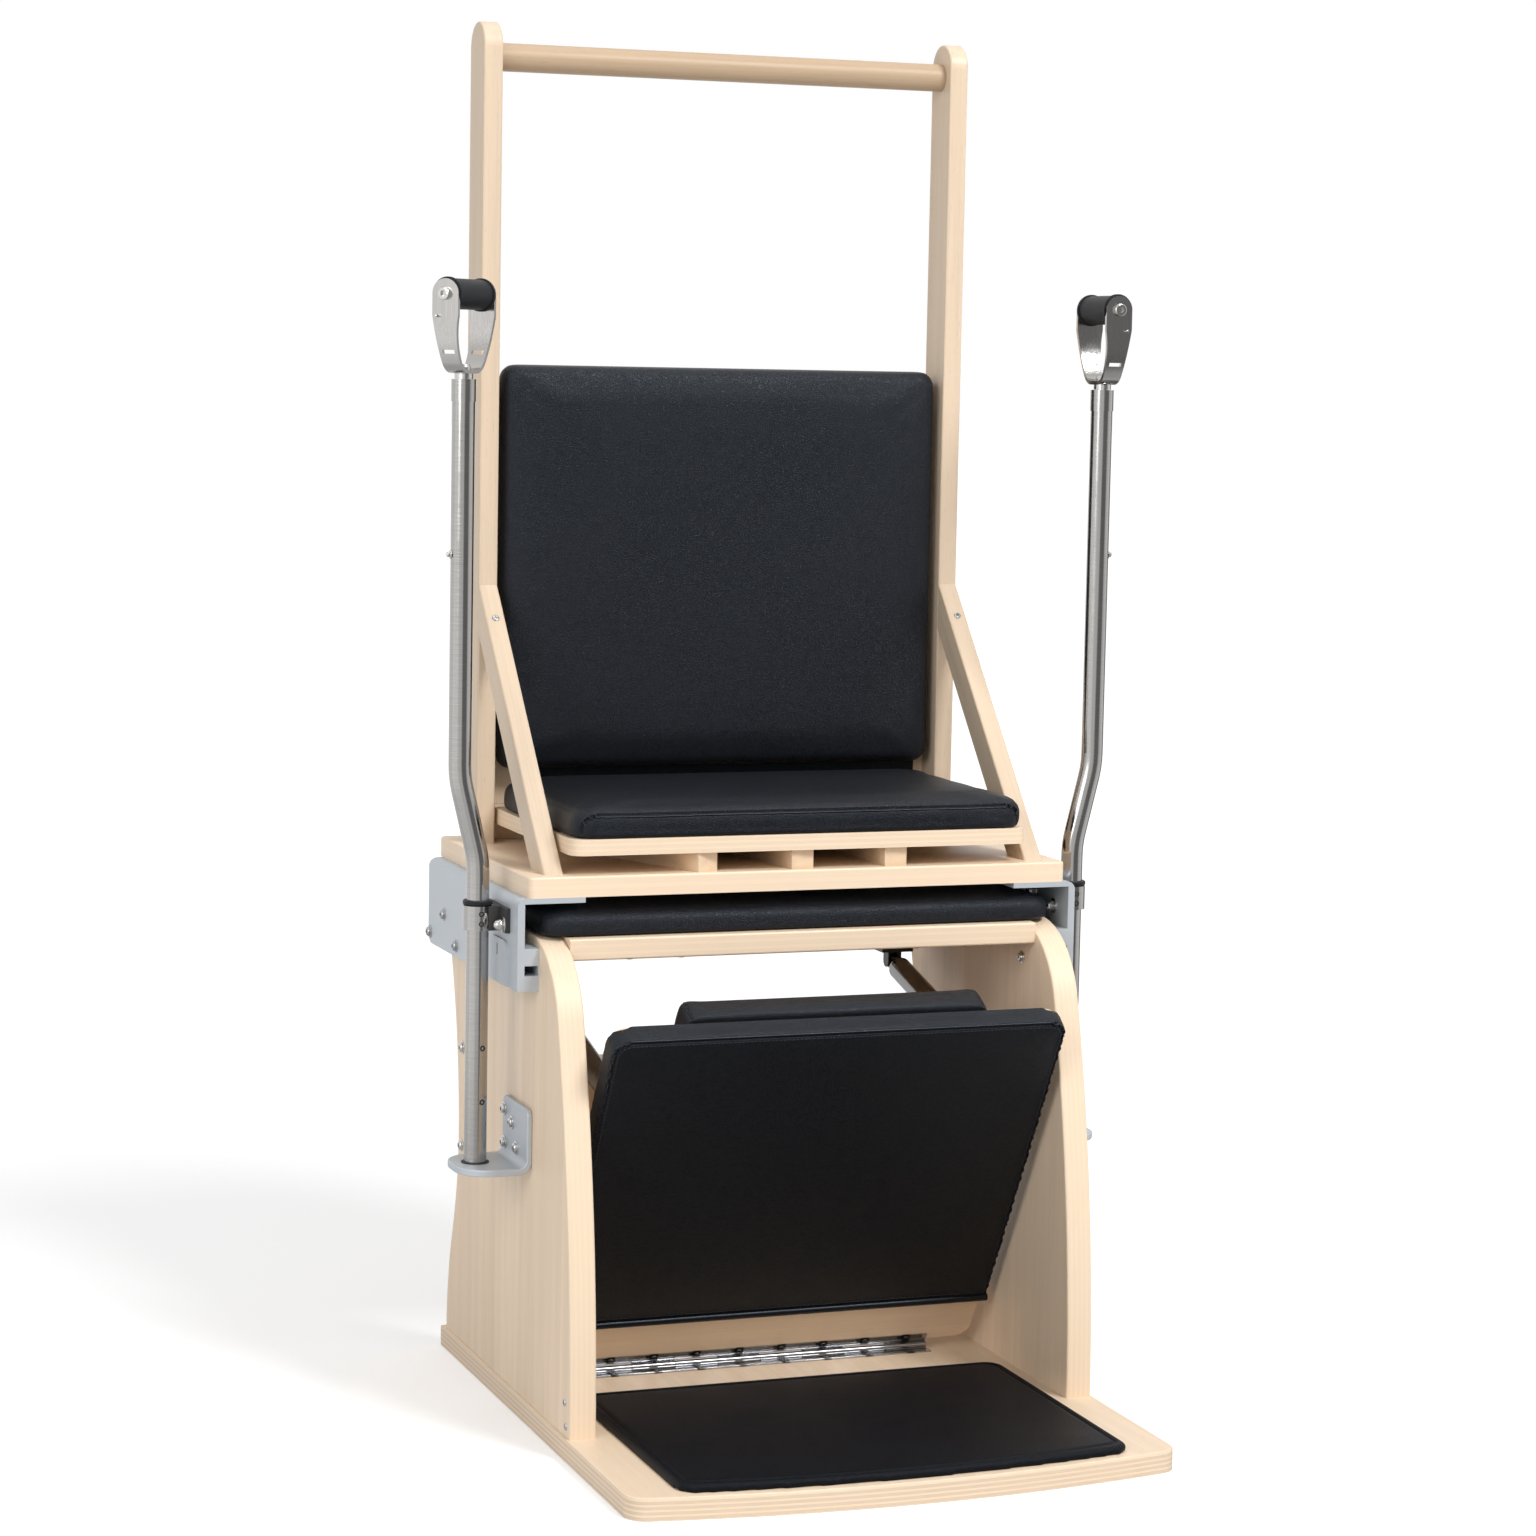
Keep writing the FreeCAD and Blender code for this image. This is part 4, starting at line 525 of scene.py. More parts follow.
NODE_FINISHES: list[tuple[Finish, list[str]]] = [
    (BASE_PLY, ["base_board"]),
    (PANEL_PLY, sided("side_panel")),
    (SEAT_PLY, ["chair_seat_board"]),
    (TIE_PLY, ["rear_rail", "tie_board"]),
    (BENCH_PLY, ["bench_board"]),
    (BENCH_SEAT_PLY, ["bench_seat_board"]),
    (BACK_PLY, ["back_board"]),
    (PEDAL_PLY, ["pedal_board"]),
    (UPRIGHT_WOOD, sided("upright")),
    (BRACE_WOOD, sided("brace")),
    (DOWEL_WOOD, ["top_dowel"]),
    (RISER_WOOD, ["riser_left", "riser_mid", "riser_right"]),
    (GREY_COAT, sided("side_bracket", "cover_plate", "lower_bracket")),
    (POLE_STEEL, sided("pole", "pole_collar")),
    (YOKE_STEEL, sided("yoke")),
    (BRIGHT_STEEL, sided("yoke_stem")),
    (HINGE_CHROME, ["hinge_base_leaf", "hinge_pedal_leaf", "hinge_pin"]),
    (STRUT_CHROME, sided("strut_tube", "strut_rod")),
    (DARK_COAT, sided("strut_hanger", "pedal_lug")),
    (BLACK_PLASTIC, sided("pole_clamp", "pole_bush")),
    (GRIP_RUBBER, sided("grip")),
    (RING_RUBBER, sided("pole_stop")),
]


def clear_selection() -> None:
    """Deselect everything, so that the next operator acts on its own piece alone."""
    bpy.ops.object.select_all(action="DESELECT")


def take(piece: bpy.types.Object) -> bpy.types.Object:
    """Select one piece alone and make it active."""
    clear_selection()
    piece.select_set(True)
    bpy.context.view_layer.objects.active = piece
    return piece


def named(name: str) -> bpy.types.Object:
    """Name the piece that an operator has just added, and settle its place into its mesh."""
    piece = bpy.context.active_object
    piece.name = name
    piece.data.name = name
    bpy.ops.object.transform_apply(location=True, rotation=True, scale=True)
    return piece


def cylinder(name: str, radius: float, low: float, high: float, sides: int = 24) -> bpy.types.Object:
    """Add an upright cylinder between two heights on the Z axis."""
    clear_selection()
    bpy.ops.mesh.primitive_cylinder_add(vertices=sides, radius=radius, depth=high - low,
                                        location=(0.0, 0.0, (low + high) / 2))
    return named(name)


def block(name: str, low: Point, high: Point) -> bpy.types.Object:
    """Add a block between two corners."""
    clear_selection()
    bpy.ops.mesh.primitive_cube_add(size=1.0)
    piece = bpy.context.active_object
    piece.scale = [b - a for a, b in zip(low, high)]
    piece.location = [(a + b) / 2 for a, b in zip(low, high)]
    return named(name)


def pick_edges(piece: bpy.types.Object, test: Callable[[Vector, Vector], bool]) -> None:
    """Enter edit mode with the edges selected whose two ends pass test."""
    take(piece)
    bpy.ops.object.mode_set(mode="EDIT")
    bpy.ops.mesh.select_mode(type="EDGE")
    bpy.ops.mesh.select_all(action="DESELECT")
    mesh = bmesh.from_edit_mesh(piece.data)
    for edge in mesh.edges:
        edge.select_set(test(edge.verts[0].co, edge.verts[1].co))
    bmesh.update_edit_mesh(piece.data)


def pick_faces(piece: bpy.types.Object, test: Callable[[Vector, Vector], bool]) -> None:
    """Enter edit mode with the faces selected whose centre and normal pass test."""
    take(piece)
    bpy.ops.object.mode_set(mode="EDIT")
    bpy.ops.mesh.select_mode(type="FACE")
    bpy.ops.mesh.select_all(action="DESELECT")
    mesh = bmesh.from_edit_mesh(piece.data)
    for face in mesh.faces:
        face.select_set(test(face.calc_center_median(), face.normal))
    bmesh.update_edit_mesh(piece.data)


def leave_edit() -> None:
    """Go back to object mode."""
    bpy.ops.object.mode_set(mode="OBJECT")


def bevel_edges(piece: bpy.types.Object, offset: float, segments: int,
                test: Callable[[Vector, Vector], bool]) -> None:
    """Round the edges that test picks."""
    pick_edges(piece, test)
    bpy.ops.mesh.bevel(offset=offset, segments=segments, affect="EDGES")
    leave_edit()


def apply_modifier(piece: bpy.types.Object, kind: str, **settings: object) -> None:
    """Add a modifier, set it and apply it."""
    modifier = piece.modifiers.new(kind.lower(), kind)
    for name, value in settings.items():
        setattr(modifier, name, value)
    take(piece)
    bpy.ops.object.modifier_apply(modifier=modifier.name)


def cut(piece: bpy.types.Object, cutter: bpy.types.Object) -> None:
    """Cut one closed shape out of another and remove the cutter."""
    apply_modifier(piece, "BOOLEAN", operation="DIFFERENCE", solver="EXACT", object=cutter)
    bpy.data.objects.remove(cutter)


def join(pieces: Sequence[bpy.types.Object], name: str) -> bpy.types.Object:
    """Join pieces into one object of this name."""
    clear_selection()
    for piece in pieces:
        piece.select_set(True)
    bpy.context.view_layer.objects.active = pieces[0]
    if len(pieces) > 1:
        bpy.ops.object.join()
    pieces[0].name = name
    pieces[0].data.name = name
    return pieces[0]


def smooth(piece: bpy.types.Object, angle: float = 35.0) -> None:
    """Shade a piece smooth, apart from its sharp edges."""
    take(piece)
    bpy.ops.object.shade_smooth_by_angle(angle=math.radians(angle))


def dress(piece: bpy.types.Object, finish: Finish, body: str) -> bpy.types.Object:
    """Give a piece its finish and the body it moves with, and log it."""
    piece.data.materials.clear()
    piece.data.materials.append(finish.material())
    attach(piece, body)
    log.info("%s rides on %s", piece.name, body)
    return piece


def aim(place: Point, way: Point, spin: float = 0.0) -> Matrix:
    """Return the matrix that puts a part made along +Z at a place, pointing along way."""
    turn = Vector((0.0, 0.0, 1.0)).rotation_difference(Vector(way)).to_matrix().to_4x4()
    return Matrix.Translation(Vector(place)) @ turn @ Matrix.Rotation(spin, 4, "Z")


class Head(Enum):
    """The kinds of fastener that show."""

    BUTTON = "button"
    CROSS = "cross"
    ACORN = "acorn"
    SOCKET = "socket"


@dataclass
class Fasteners:
    """Screws and nuts, each modelled once and copied to its places.

    Attributes:
        radius: Radius of each kind's head.
        tall: Height of each kind's head.
        washer: Thickness of a washer.
        models: The one model of each kind that has been used.
    """

    radius: dict[Head, float] = field(default_factory=lambda: {
        Head.BUTTON: 0.0056, Head.CROSS: 0.0042, Head.ACORN: 0.0068, Head.SOCKET: 0.0032})
    tall: dict[Head, float] = field(default_factory=lambda: {
        Head.BUTTON: 0.0034, Head.CROSS: 0.0016, Head.ACORN: 0.0105, Head.SOCKET: 0.0012})
    washer: float = 0.0012
    models: dict[Head, bpy.types.Object] = field(default_factory=dict)

    def button(self) -> bpy.types.Object:
        """Return a domed head with a hexagon socket, on a washer."""
        radius, tall = self.radius[Head.BUTTON], self.tall[Head.BUTTON]
        head = cylinder("button_model", radius, self.washer, self.washer + tall, 28)
        bevel_edges(head, tall * 0.8, 5, lambda a, b: min(a.z, b.z) > self.washer + tall * 0.9)
        cut(head, cylinder("button_key", radius * 0.45, self.washer + tall * 0.45, 2 * tall + self.washer, 6))
        ring = cylinder("button_washer", radius * 1.35, 0.0, self.washer, 28)
        bevel_edges(ring, self.washer * 0.35, 2, lambda a, b: min(a.z, b.z) > self.washer * 0.9)
        return join([head, ring], "button_model")

    def cross(self) -> bpy.types.Object:
        """Return a flat head with a cross recess."""
        radius, tall = self.radius[Head.CROSS], self.tall[Head.CROSS]
        head = cylinder("cross_model", radius, 0.0, tall, 24)
        bevel_edges(head, tall * 0.6, 3, lambda a, b: min(a.z, b.z) > tall * 0.9)
        arm, half = radius * 0.6, radius * 0.13
        for along, across in ((arm, half), (half, arm)):
            cut(head, block("cross_key", (-along, -across, tall * 0.4), (along, across, tall * 2)))
        return head

    def acorn(self) -> bpy.types.Object:
        """Return a hexagon nut with a domed cap, on a washer."""
        radius, tall = self.radius[Head.ACORN], self.tall[Head.ACORN]
        nut = cylinder("acorn_model", radius, self.washer, tall * 0.6, 6)
        bevel_edges(nut, radius * 0.1, 2, lambda a, b: True)
        clear_selection()
        bpy.ops.mesh.primitive_uv_sphere_add(segments=24, ring_count=14, radius=radius * 0.8,
                                             location=(0.0, 0.0, tall * 0.5))
        cap = named("acorn_cap")
        cap.data.transform(Matrix.Translation((0.0, 0.0, tall * 0.06)))
        ring = cylinder("acorn_washer", radius * 1.3, 0.0, self.washer, 28)
        bevel_edges(ring, self.washer * 0.35, 2, lambda a, b: min(a.z, b.z) > self.washer * 0.9)
        return join([nut, cap, ring], "acorn_model")

    def socket(self) -> bpy.types.Object:
        """Return the rim and sunk key of a set screw."""
        radius, tall = self.radius[Head.SOCKET], self.tall[Head.SOCKET]
        plug = cylinder("socket_model", radius, -tall, tall * 0.4, 20)
        bevel_edges(plug, tall * 0.2, 2, lambda a, b: min(a.z, b.z) > 0.0)
        cut(plug, cylinder("socket_key", radius * 0.6, -tall * 0.5, tall, 6))
        return plug

    def model(self, head: Head) -> bpy.types.Object:
        """Return the one model of a kind, made on first use; clear removes it at the end."""
        if head not in self.models:
            self.models[head] = getattr(self, head.value)()
            smooth(self.models[head])
        return self.models[head]

    def fit(self, name: str, head: Head, places: Sequence[Matrix], body: str,
            finish: Finish = BRIGHT_STEEL, slot: str = "chrome") -> bpy.types.Object:
        """Copy one kind of fastener to its places as one piece.

        Args:
            name: Name of the piece.
            head: The kind of fastener.
            places: Matrices from the model to each place.
            body: Body that the piece moves with.
            finish: The fasteners' finish.
            slot: Their slot in the record; not used.

        Returns:
            The new piece.
        """
        model = self.model(head)
        copies = []
        for matrix in places:
            mesh = model.data.copy()
            mesh.transform(matrix)
            copy = bpy.data.objects.new(name, mesh)
            bpy.context.scene.collection.objects.link(copy)
            copies.append(copy)
        return dress(join(copies, name), finish, body)

    def clear(self) -> None:
        """Remove the models once every copy is made."""
        for model in self.models.values():
            bpy.data.objects.remove(model)
        self.models.clear()


@dataclass
class BoxHardware:
    """Bolts and screws of the chair's box, brackets and bench.

    Attributes:
        web_bolts: Places on each side bracket's web.
        clamp_nuts: Places on each pole clamp's flange.
        plate_bolts: Places on each lower bracket's plate.
        tie_bolts: Places on the panels' outer faces where the tie board ends.
        foot_screws: Places at the panels' front feet.
        seat_screws: Places across under the seat board.
        seat_under: Depth and height of the seat board's screws.
        panel_bolts: Places on the panels' inner faces, behind the foot and upward.
        plate_face: Distance of the lower brackets' plates from the middle.
        clamp_face: Distance of the pole clamps' flanges from the middle.
        brace_toe: Middle of the right brace's front face at its foot.
        brace_top: The same at its top.
        brace_share: How far up the brace its screw sits.
        collar_face: Distance of the collar's front from the pole's middle line.
        collar_holes: Heights of the holes in each collar.
    """

    web_bolts: tuple = ((0.2945, 0.531), (0.3555, 0.502), (0.2415, 0.502))
    clamp_nuts: tuple = ((0.0325, 0.5575), (0.0885, 0.5675))
    plate_bolts: tuple = ((0.1010, 0.339), (0.0715, 0.329), (0.1010, 0.301), (0.0535, 0.304))
    tie_bolts: tuple = ((0.2965, 0.373), (0.2965, 0.257))
    foot_screws: tuple = ((-0.1205, 0.061), (-0.1255, 0.036))
    seat_screws: tuple = (0.14, 0.2)
    seat_under: tuple = (0.006, 0.523)
    panel_bolts: tuple = ((0.152, 0.502), (0.38, 0.502))
    plate_face: float = 0.3127
    clamp_face: float = 0.3367
    brace_toe: tuple = (0.2866, 0.0102, BENCH_TOP)
    brace_top: tuple = (0.2866, 0.2817, 0.9138)
    brace_share: float = 0.88
    collar_face: float = 0.01625
    collar_holes: tuple = (0.557, 0.568)

    def build(self, fasteners: Fasteners) -> None:
        """Fit every fastener of the box, left and right."""
        for side, sign in SIDES.items():
            out, inward = (sign, 0.0, 0.0), (-sign, 0.0, 0.0)

            def on(face: float, spots: Sequence, way: Point) -> list[Matrix]:
                """Return the places of spots on an upright face."""
                return [aim((sign * face, y, z), way, 0.4 * number) for number, (y, z) in enumerate(spots)]

            fasteners.fit("web_bolts_" + side, Head.BUTTON, on(WEB_OUTER, self.web_bolts, out), "frame",
                          BOLT_STEEL)
            nuts = on(self.clamp_face, self.clamp_nuts, out)
            fasteners.fit("clamp_nuts_" + side, Head.ACORN, nuts, "frame")
            fasteners.fit("web_nuts_" + side, Head.ACORN, on(WEB_INNER, self.clamp_nuts, inward), "frame")
            bolts = on(self.plate_face, self.plate_bolts, out)
            fasteners.fit("plate_bolts_" + side, Head.BUTTON, bolts, "frame")
            fasteners.fit("tie_bolts_" + side, Head.BUTTON, on(PANEL_OUTER, self.tie_bolts, out), "frame")
            fasteners.fit("foot_screws_" + side, Head.CROSS, on(PANEL_OUTER, self.foot_screws, out), "frame")
            inner = on(PANEL_INNER, [(FOOT_Y + back, high) for back, high in self.panel_bolts], inward)
            fasteners.fit("panel_bolts_" + side, Head.BUTTON, inner, "frame")
            under = [aim((sign * x, *self.seat_under), (0.0, 0.0, -1.0)) for x in self.seat_screws]
            fasteners.fit("seat_screws_" + side, Head.BUTTON, under, "frame")
            spot = Vector(self.brace_toe).lerp(Vector(self.brace_top), self.brace_share)
            spot.x *= sign
            across = [aim(tuple(spot), (0.0, -BRACE_WAY[2], BRACE_WAY[1]))]
            fasteners.fit("brace_screw_" + side, Head.CROSS, across, "frame", BOLT_STEEL)
            holes = [aim((sign * POLE_X, POLE_Y - self.collar_face, z), (0.0, -1.0, 0.0))
                     for z in self.collar_holes]
            fasteners.fit("collar_screws_" + side, Head.SOCKET, holes, "frame", DARK_COAT)


@dataclass
class HingeScrews:
    """Countersunk screws in the two leaves of the piano hinge.

    Attributes:
        count: Screws in each leaf.
        pitch: Distance between them.
        base_spot: Place across the hinge of the base leaf's screws, from the hinge line and upward.
        leaf_spot: Place of the pedal leaf's screws, in the pedal's own frame.
        size: Size of the screws against the common cross head.
    """

    count: int = 8
    pitch: float = HINGE_PITCH
    base_spot: tuple = (-0.0125, 0.0253)
    leaf_spot: tuple = (0.0031, 0.0098)
    size: float = 0.75

    def build(self, fasteners: Fasteners) -> None:
        """Fit the screws of the base leaf and of the pedal leaf."""
        across = [(number - (self.count - 1) / 2) * self.pitch for number in range(self.count)]
        small = Matrix.Scale(self.size, 4)
        behind, height = self.base_spot
        base = [aim((x, HINGE.y + behind, height), (0.0, 0.0, 1.0), x * 40) @ small for x in across]
        fasteners.fit("hinge_base_screws", Head.CROSS, base, "frame", SCREW_STEEL)
        leaf = [PEDAL_FRAME @ aim((x, *self.leaf_spot), (0.0, -1.0, 0.0), x * 55) @ small for x in across]
        fasteners.fit("hinge_pedal_screws", Head.CROSS, leaf, "pedal", SCREW_STEEL)


@dataclass
class HandlePoles:
    """Small pieces on the poles and yokes.

    Attributes:
        pin_z: Height of the locating button on each pole.
        hole_z: Heights of the setting holes below the collar.
        bolt_radius: Radius of the grip bolt's shank.
        half_span: Half of the yoke's outer width.
        head_radius: Radius of the bolt's heads.
        head_tall: Height of the bolt's heads.
        stud_z: Height of the studs above the pole's end.
        rim: Radius and height of the collar round the locating button.
        button: Radius and height of the locating button.
        stud: Radius of a stud, how deep it sits and how far it stands out.
        hole_spot: How far toward the middle and ahead of the pole's line a setting hole sits.
        hole_way: Direction that it faces, outward and along Y.
        pin_out: Distance of the locating button's foot from the pole's line.
        stud_ahead: Distance of the studs from the yoke's middle plane.
        fine: Bevel of the small edges.
        dome: Bevel that rounds the locating button.
    """

    pin_z: float = 0.961
    hole_z: tuple = (0.418, 0.358)
    bolt_radius: float = 0.0037
    half_span: float = 0.0405
    head_radius: float = 0.0072
    head_tall: float = 0.0048
    stud_z: float = 0.067
    rim: tuple = (0.0048, 0.0016)
    button: tuple = (0.003, 0.0052)
    stud: tuple = (0.0016, 0.001, 0.0052)
    hole_spot: tuple = (0.004, 0.01185)
    hole_way: tuple = (-0.32, -0.95)
    pin_out: float = 0.0122
    stud_ahead: float = 0.009
    fine: float = 0.0006
    dome: float = 0.0018

    def build(self, fasteners: Fasteners) -> None:
        """Make the buttons, the setting holes as dark plugs of painted shade, the studs and the grip bolts of
        both poles.
        """
        inset, ahead = self.hole_spot
        for side, sign in SIDES.items():
            self.pin(side, sign)
            way = (self.hole_way[0] * sign, self.hole_way[1], 0.0)
            holes = [aim((sign * POLE_X - inset * sign, POLE_Y - ahead, z), way) for z in self.hole_z]
            # Painted shade: each setting hole is a near-black socket plug that stands for the shade inside
            # the hole.
            fasteners.fit("pole_holes_" + side, Head.SOCKET, holes, "pole_" + side, DARK_COAT, "steel")
            self.bolt(side, sign)
            self.studs(side, sign)

    def pin(self, side: str, sign: float) -> None:
        """Make one locating button with its collar, on the outer side of the pole."""
        rim = cylinder("pole_pin_rim", self.rim[0], 0.0, self.rim[1], 24)
        bevel_edges(rim, self.fine, 2, lambda a, b: min(a.z, b.z) > self.rim[1] * 0.9)
        button = cylinder("pole_pin_button", self.button[0], 0.0, self.button[1], 24)
        bevel_edges(button, self.dome, 4, lambda a, b: min(a.z, b.z) > self.button[1] * 0.9)
        pin = join([rim, button], "pole_pin_" + side)
        foot = (sign * (POLE_UPPER_X + self.pin_out), POLE_Y, self.pin_z)
        pin.data.transform(aim(foot, (sign, 0.0, 0.0)))
        smooth(pin)
        dress(pin, BRIGHT_STEEL, "pole_" + side)

    def yoke_matrix(self, side: str, sign: float, height: float) -> Matrix:
        """Return the frame of a yoke at a height, with the grip along X."""
        return (Matrix.Translation((sign * POLE_UPPER_X, POLE_Y, height))
                @ Matrix.Rotation(YOKE_TURNS[side], 4, "Z"))

    def bolt(self, side: str, sign: float) -> None:
        """Make the grip's bolt: a shank and two rounded heads with hexagon sockets."""
        shank = cylinder("grip_shank", self.bolt_radius, -self.half_span, self.half_span, 24)
        pieces = [shank]
        for way in (1.0, -1.0):
            head = cylinder("grip_head", self.head_radius, 0.0, self.head_tall, 30)
            bevel_edges(head, 0.0014, 4, lambda a, b: min(a.z, b.z) > self.head_tall * 0.9)
            key = cylinder("grip_key", self.head_radius * 0.5, self.head_tall * 0.4, self.head_tall * 2, 6)
            cut(head, key)
            head.data.transform(aim((0.0, 0.0, way * self.half_span), (0.0, 0.0, way)))
            pieces.append(head)
        bolt = join(pieces, "grip_bolt_dressed_" + side)
        turn = Matrix.Rotation(math.pi / 2, 4, "Y")
        bolt.data.transform(self.yoke_matrix(side, sign, GRIP_Z) @ turn)
        smooth(bolt)
        dress(bolt, BRIGHT_STEEL, "yoke_" + side)
        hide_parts("grip_bolt_" + side)

    def studs(self, side: str, sign: float) -> None:
        """Make the two small studs on the outsides of the yoke's arms."""
        pieces = []
        radius, deep, out = self.stud
        for way in (1.0, -1.0):
            stud = cylinder("yoke_stud", radius, -deep, out, 16)
            bevel_edges(stud, self.fine, 2, lambda a, b: min(a.z, b.z) > out * 0.9)
            spot = (way * self.half_span, self.stud_ahead, self.stud_z)
            stud.data.transform(aim(spot, (way, 0.0, 0.0)))
            pieces.append(stud)
        studs = join(pieces, "yoke_studs_" + side)
        studs.data.transform(self.yoke_matrix(side, sign, POLE_TOP))
        smooth(studs)
        dress(studs, BRIGHT_STEEL, "yoke_" + side)


def tube_along(name: str, points: Sequence[Vector], radius: float, closed: bool) -> bpy.types.Object:
    """Make a round welt along points.

    Args:
        name: Name of the piece.
        points: The line that the welt follows.
        radius: The welt's radius.
        closed: Whether the line comes back to its start.

    Returns:
        The welt as a mesh.
    """
    curve = bpy.data.curves.new(name, "CURVE")
    curve.dimensions = "3D"
    curve.bevel_depth = radius
    curve.bevel_resolution = 3
    curve.use_fill_caps = True
    spline = curve.splines.new("POLY")
    spline.points.add(len(points) - 1)
    for item, point in zip(spline.points, points):
        item.co = (*point, 1.0)
    spline.use_cyclic_u = closed
    piece = bpy.data.objects.new(name, curve)
    bpy.context.scene.collection.objects.link(piece)
    take(piece)
    bpy.ops.object.convert(target="MESH")
    piece = bpy.context.active_object
    piece.name = name
    smooth(piece, 60.0)
    return piece


def even(points: Sequence[Vector], pitch: float, closed: bool) -> list[tuple[Vector, Vector]]:
    """Return places spaced evenly along a line, each with the line's direction there."""
    line = list(points) + ([points[0]] if closed else [])
    spots, carried = [], pitch / 2
    for start, end in zip(line, line[1:]):
        run = (end - start).length
        if run < 1e-7:
            continue
        while carried < run:
            spots.append((start.lerp(end, carried / run), (end - start).normalized()))
            carried += pitch
        carried -= run
    return spots


def stitches(name: str, points: Sequence[Vector], pitch: float, closed: bool) -> bpy.types.Object:
    """Sew a row of short stitches along points, from one modelled stitch."""
    half = pitch * STITCH_SHARE
    model = cylinder("stitch_model", STITCH_RADIUS, -half, half, 6)
    bevel_edges(model, STITCH_BEVEL, 1, lambda a, b: abs(a.z - b.z) < 1e-6)
    copies = []
    for place, way in even(points, pitch, closed):
        mesh = model.data.copy()
        mesh.transform(aim(tuple(place), tuple(way)))
        copy = bpy.data.objects.new(name, mesh)
        bpy.context.scene.collection.objects.link(copy)
        copies.append(copy)
    bpy.data.objects.remove(model)
    row = join(copies, name)
    smooth(row, 60.0)
    return row


class Pad:
    """A padded piece that stands for one soft solid of the frame.

    Attributes:
        node: The solid that it replaces.
        body: The body that it moves with.
        place: The pad's own frame.
        rest: Direction in which the pad lies against its board.
        voxel: Size of the mesh's cells before it swells.
        shrink: How far the start shape lies inside the solid.
        cap: The most that a point may move as it swells, or 0 for firm foam that keeps its shape.
        fill: How tight the stuffing is; not used.
        ease: How often the skin is smoothed.
        cover: The finish of its skin.
    """

    cover: Finish = BLACK_VINYL

    def __init__(self, node: str, body: str, rest: Point, voxel: float = 0.005, shrink: float = 0.002,
                 cap: float = 0.004, fill: float = 0.8, ease: int = 3, place: Matrix = Matrix()) -> None:
        """Keep the pad's facts, measure its solid and make the start shape."""
        self.node, self.body, self.place = node, body, place
        self.rest = (place.to_3x3() @ Vector(rest)).normalized()
        self.voxel, self.shrink, self.cap, self.fill, self.ease = voxel, shrink, cap, fill, ease
        self.low, self.high = self.reach(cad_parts[node])
        self.piece = self.start()
        self.before: list[Vector] = []

    def reach(self, piece: bpy.types.Object) -> tuple[Vector, Vector]:
        """Return a piece's lowest and highest corners in the pad's own frame."""
        inside = self.place.inverted()
        spots = [inside @ vertex.co for vertex in piece.data.vertices]
        return (Vector([min(spot[axis] for spot in spots) for axis in range(3)]),
                Vector([max(spot[axis] for spot in spots) for axis in range(3)]))

    def start(self) -> bpy.types.Object:
        """Return the start shape: a copy of the solid as an even mesh."""
        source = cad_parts[self.node]
        piece = bpy.data.objects.new(self.node + "_dressed", source.data.copy())
        bpy.context.scene.collection.objects.link(piece)
        take(piece)
        bpy.ops.object.mode_set(mode="EDIT")
        bpy.ops.mesh.select_all(action="SELECT")
        bpy.ops.mesh.remove_doubles(threshold=0.00002)
        leave_edit()
        apply_modifier(piece, "REMESH", mode="VOXEL", voxel_size=self.voxel)
        return piece

    def normals(self) -> list[Vector]:
        """Return the skin's normals as they are before its points move."""
        return [vertex.normal.copy() for vertex in self.piece.data.vertices]

    def prepare(self) -> None:
        """Draw the shape in, hold it at its board and give it its cloth."""
        if not self.cap:
            return
        floor = max(vertex.co.dot(self.rest) for vertex in self.piece.data.vertices)
        held = self.piece.vertex_groups.new(name="held")
        for vertex, normal in zip(self.piece.data.vertices, self.normals()):
            if floor - vertex.co.dot(self.rest) < self.voxel * 0.7:
                held.add([vertex.index], 1.0, "REPLACE")
            else:
                vertex.co -= normal * self.shrink
        self.before = [vertex.co.copy() for vertex in self.piece.data.vertices]
        cloth = self.piece.modifiers.new("swell", "CLOTH")
        cloth.settings.quality = 5
        cloth.settings.use_pressure = True
        cloth.settings.uniform_pressure_force = 4.0
        cloth.settings.effector_weights.gravity = 0.0
        cloth.settings.vertex_group_mass = "held"
        cloth.settings.tension_stiffness = 30.0
        cloth.settings.compression_stiffness = 30.0
        cloth.settings.bending_stiffness = 2.0
        cloth.point_cache.frame_start = 1
        cloth.point_cache.frame_end = SIM_FRAMES

    def settle(self) -> None:
        """Keep the swollen shape with each point's move capped, smooth it and bring it to size."""
        if self.before:
            solved = self.piece.evaluated_get(bpy.context.evaluated_depsgraph_get())
            swollen = [vertex.co.copy() for vertex in solved.to_mesh().vertices]
            solved.to_mesh_clear()
            self.piece.modifiers.clear()
            for vertex, old, new in zip(self.piece.data.vertices, self.before, swollen):
                move = new - old
                vertex.co = old + move * min(1.0, self.cap / max(move.length, 1e-9))
            self.piece.vertex_groups.clear()
        apply_modifier(self.piece, "SMOOTH", factor=0.5, iterations=self.ease)
        if self.cap:
            apply_modifier(self.piece, "SUBSURF", levels=1, render_levels=1)
        self.fit()

    def fit(self) -> None:
        """Stretch the skin slightly, so that it fills its solid's box and no more."""
        inside = self.place.inverted()
        low, high = self.reach(self.piece)
        for vertex in self.piece.data.vertices:
            spot = inside @ vertex.co
            for axis in range(3):
                share = (spot[axis] - low[axis]) / (high[axis] - low[axis])
                spot[axis] = self.low[axis] + share * (self.high[axis] - self.low[axis])
            vertex.co = self.place @ spot

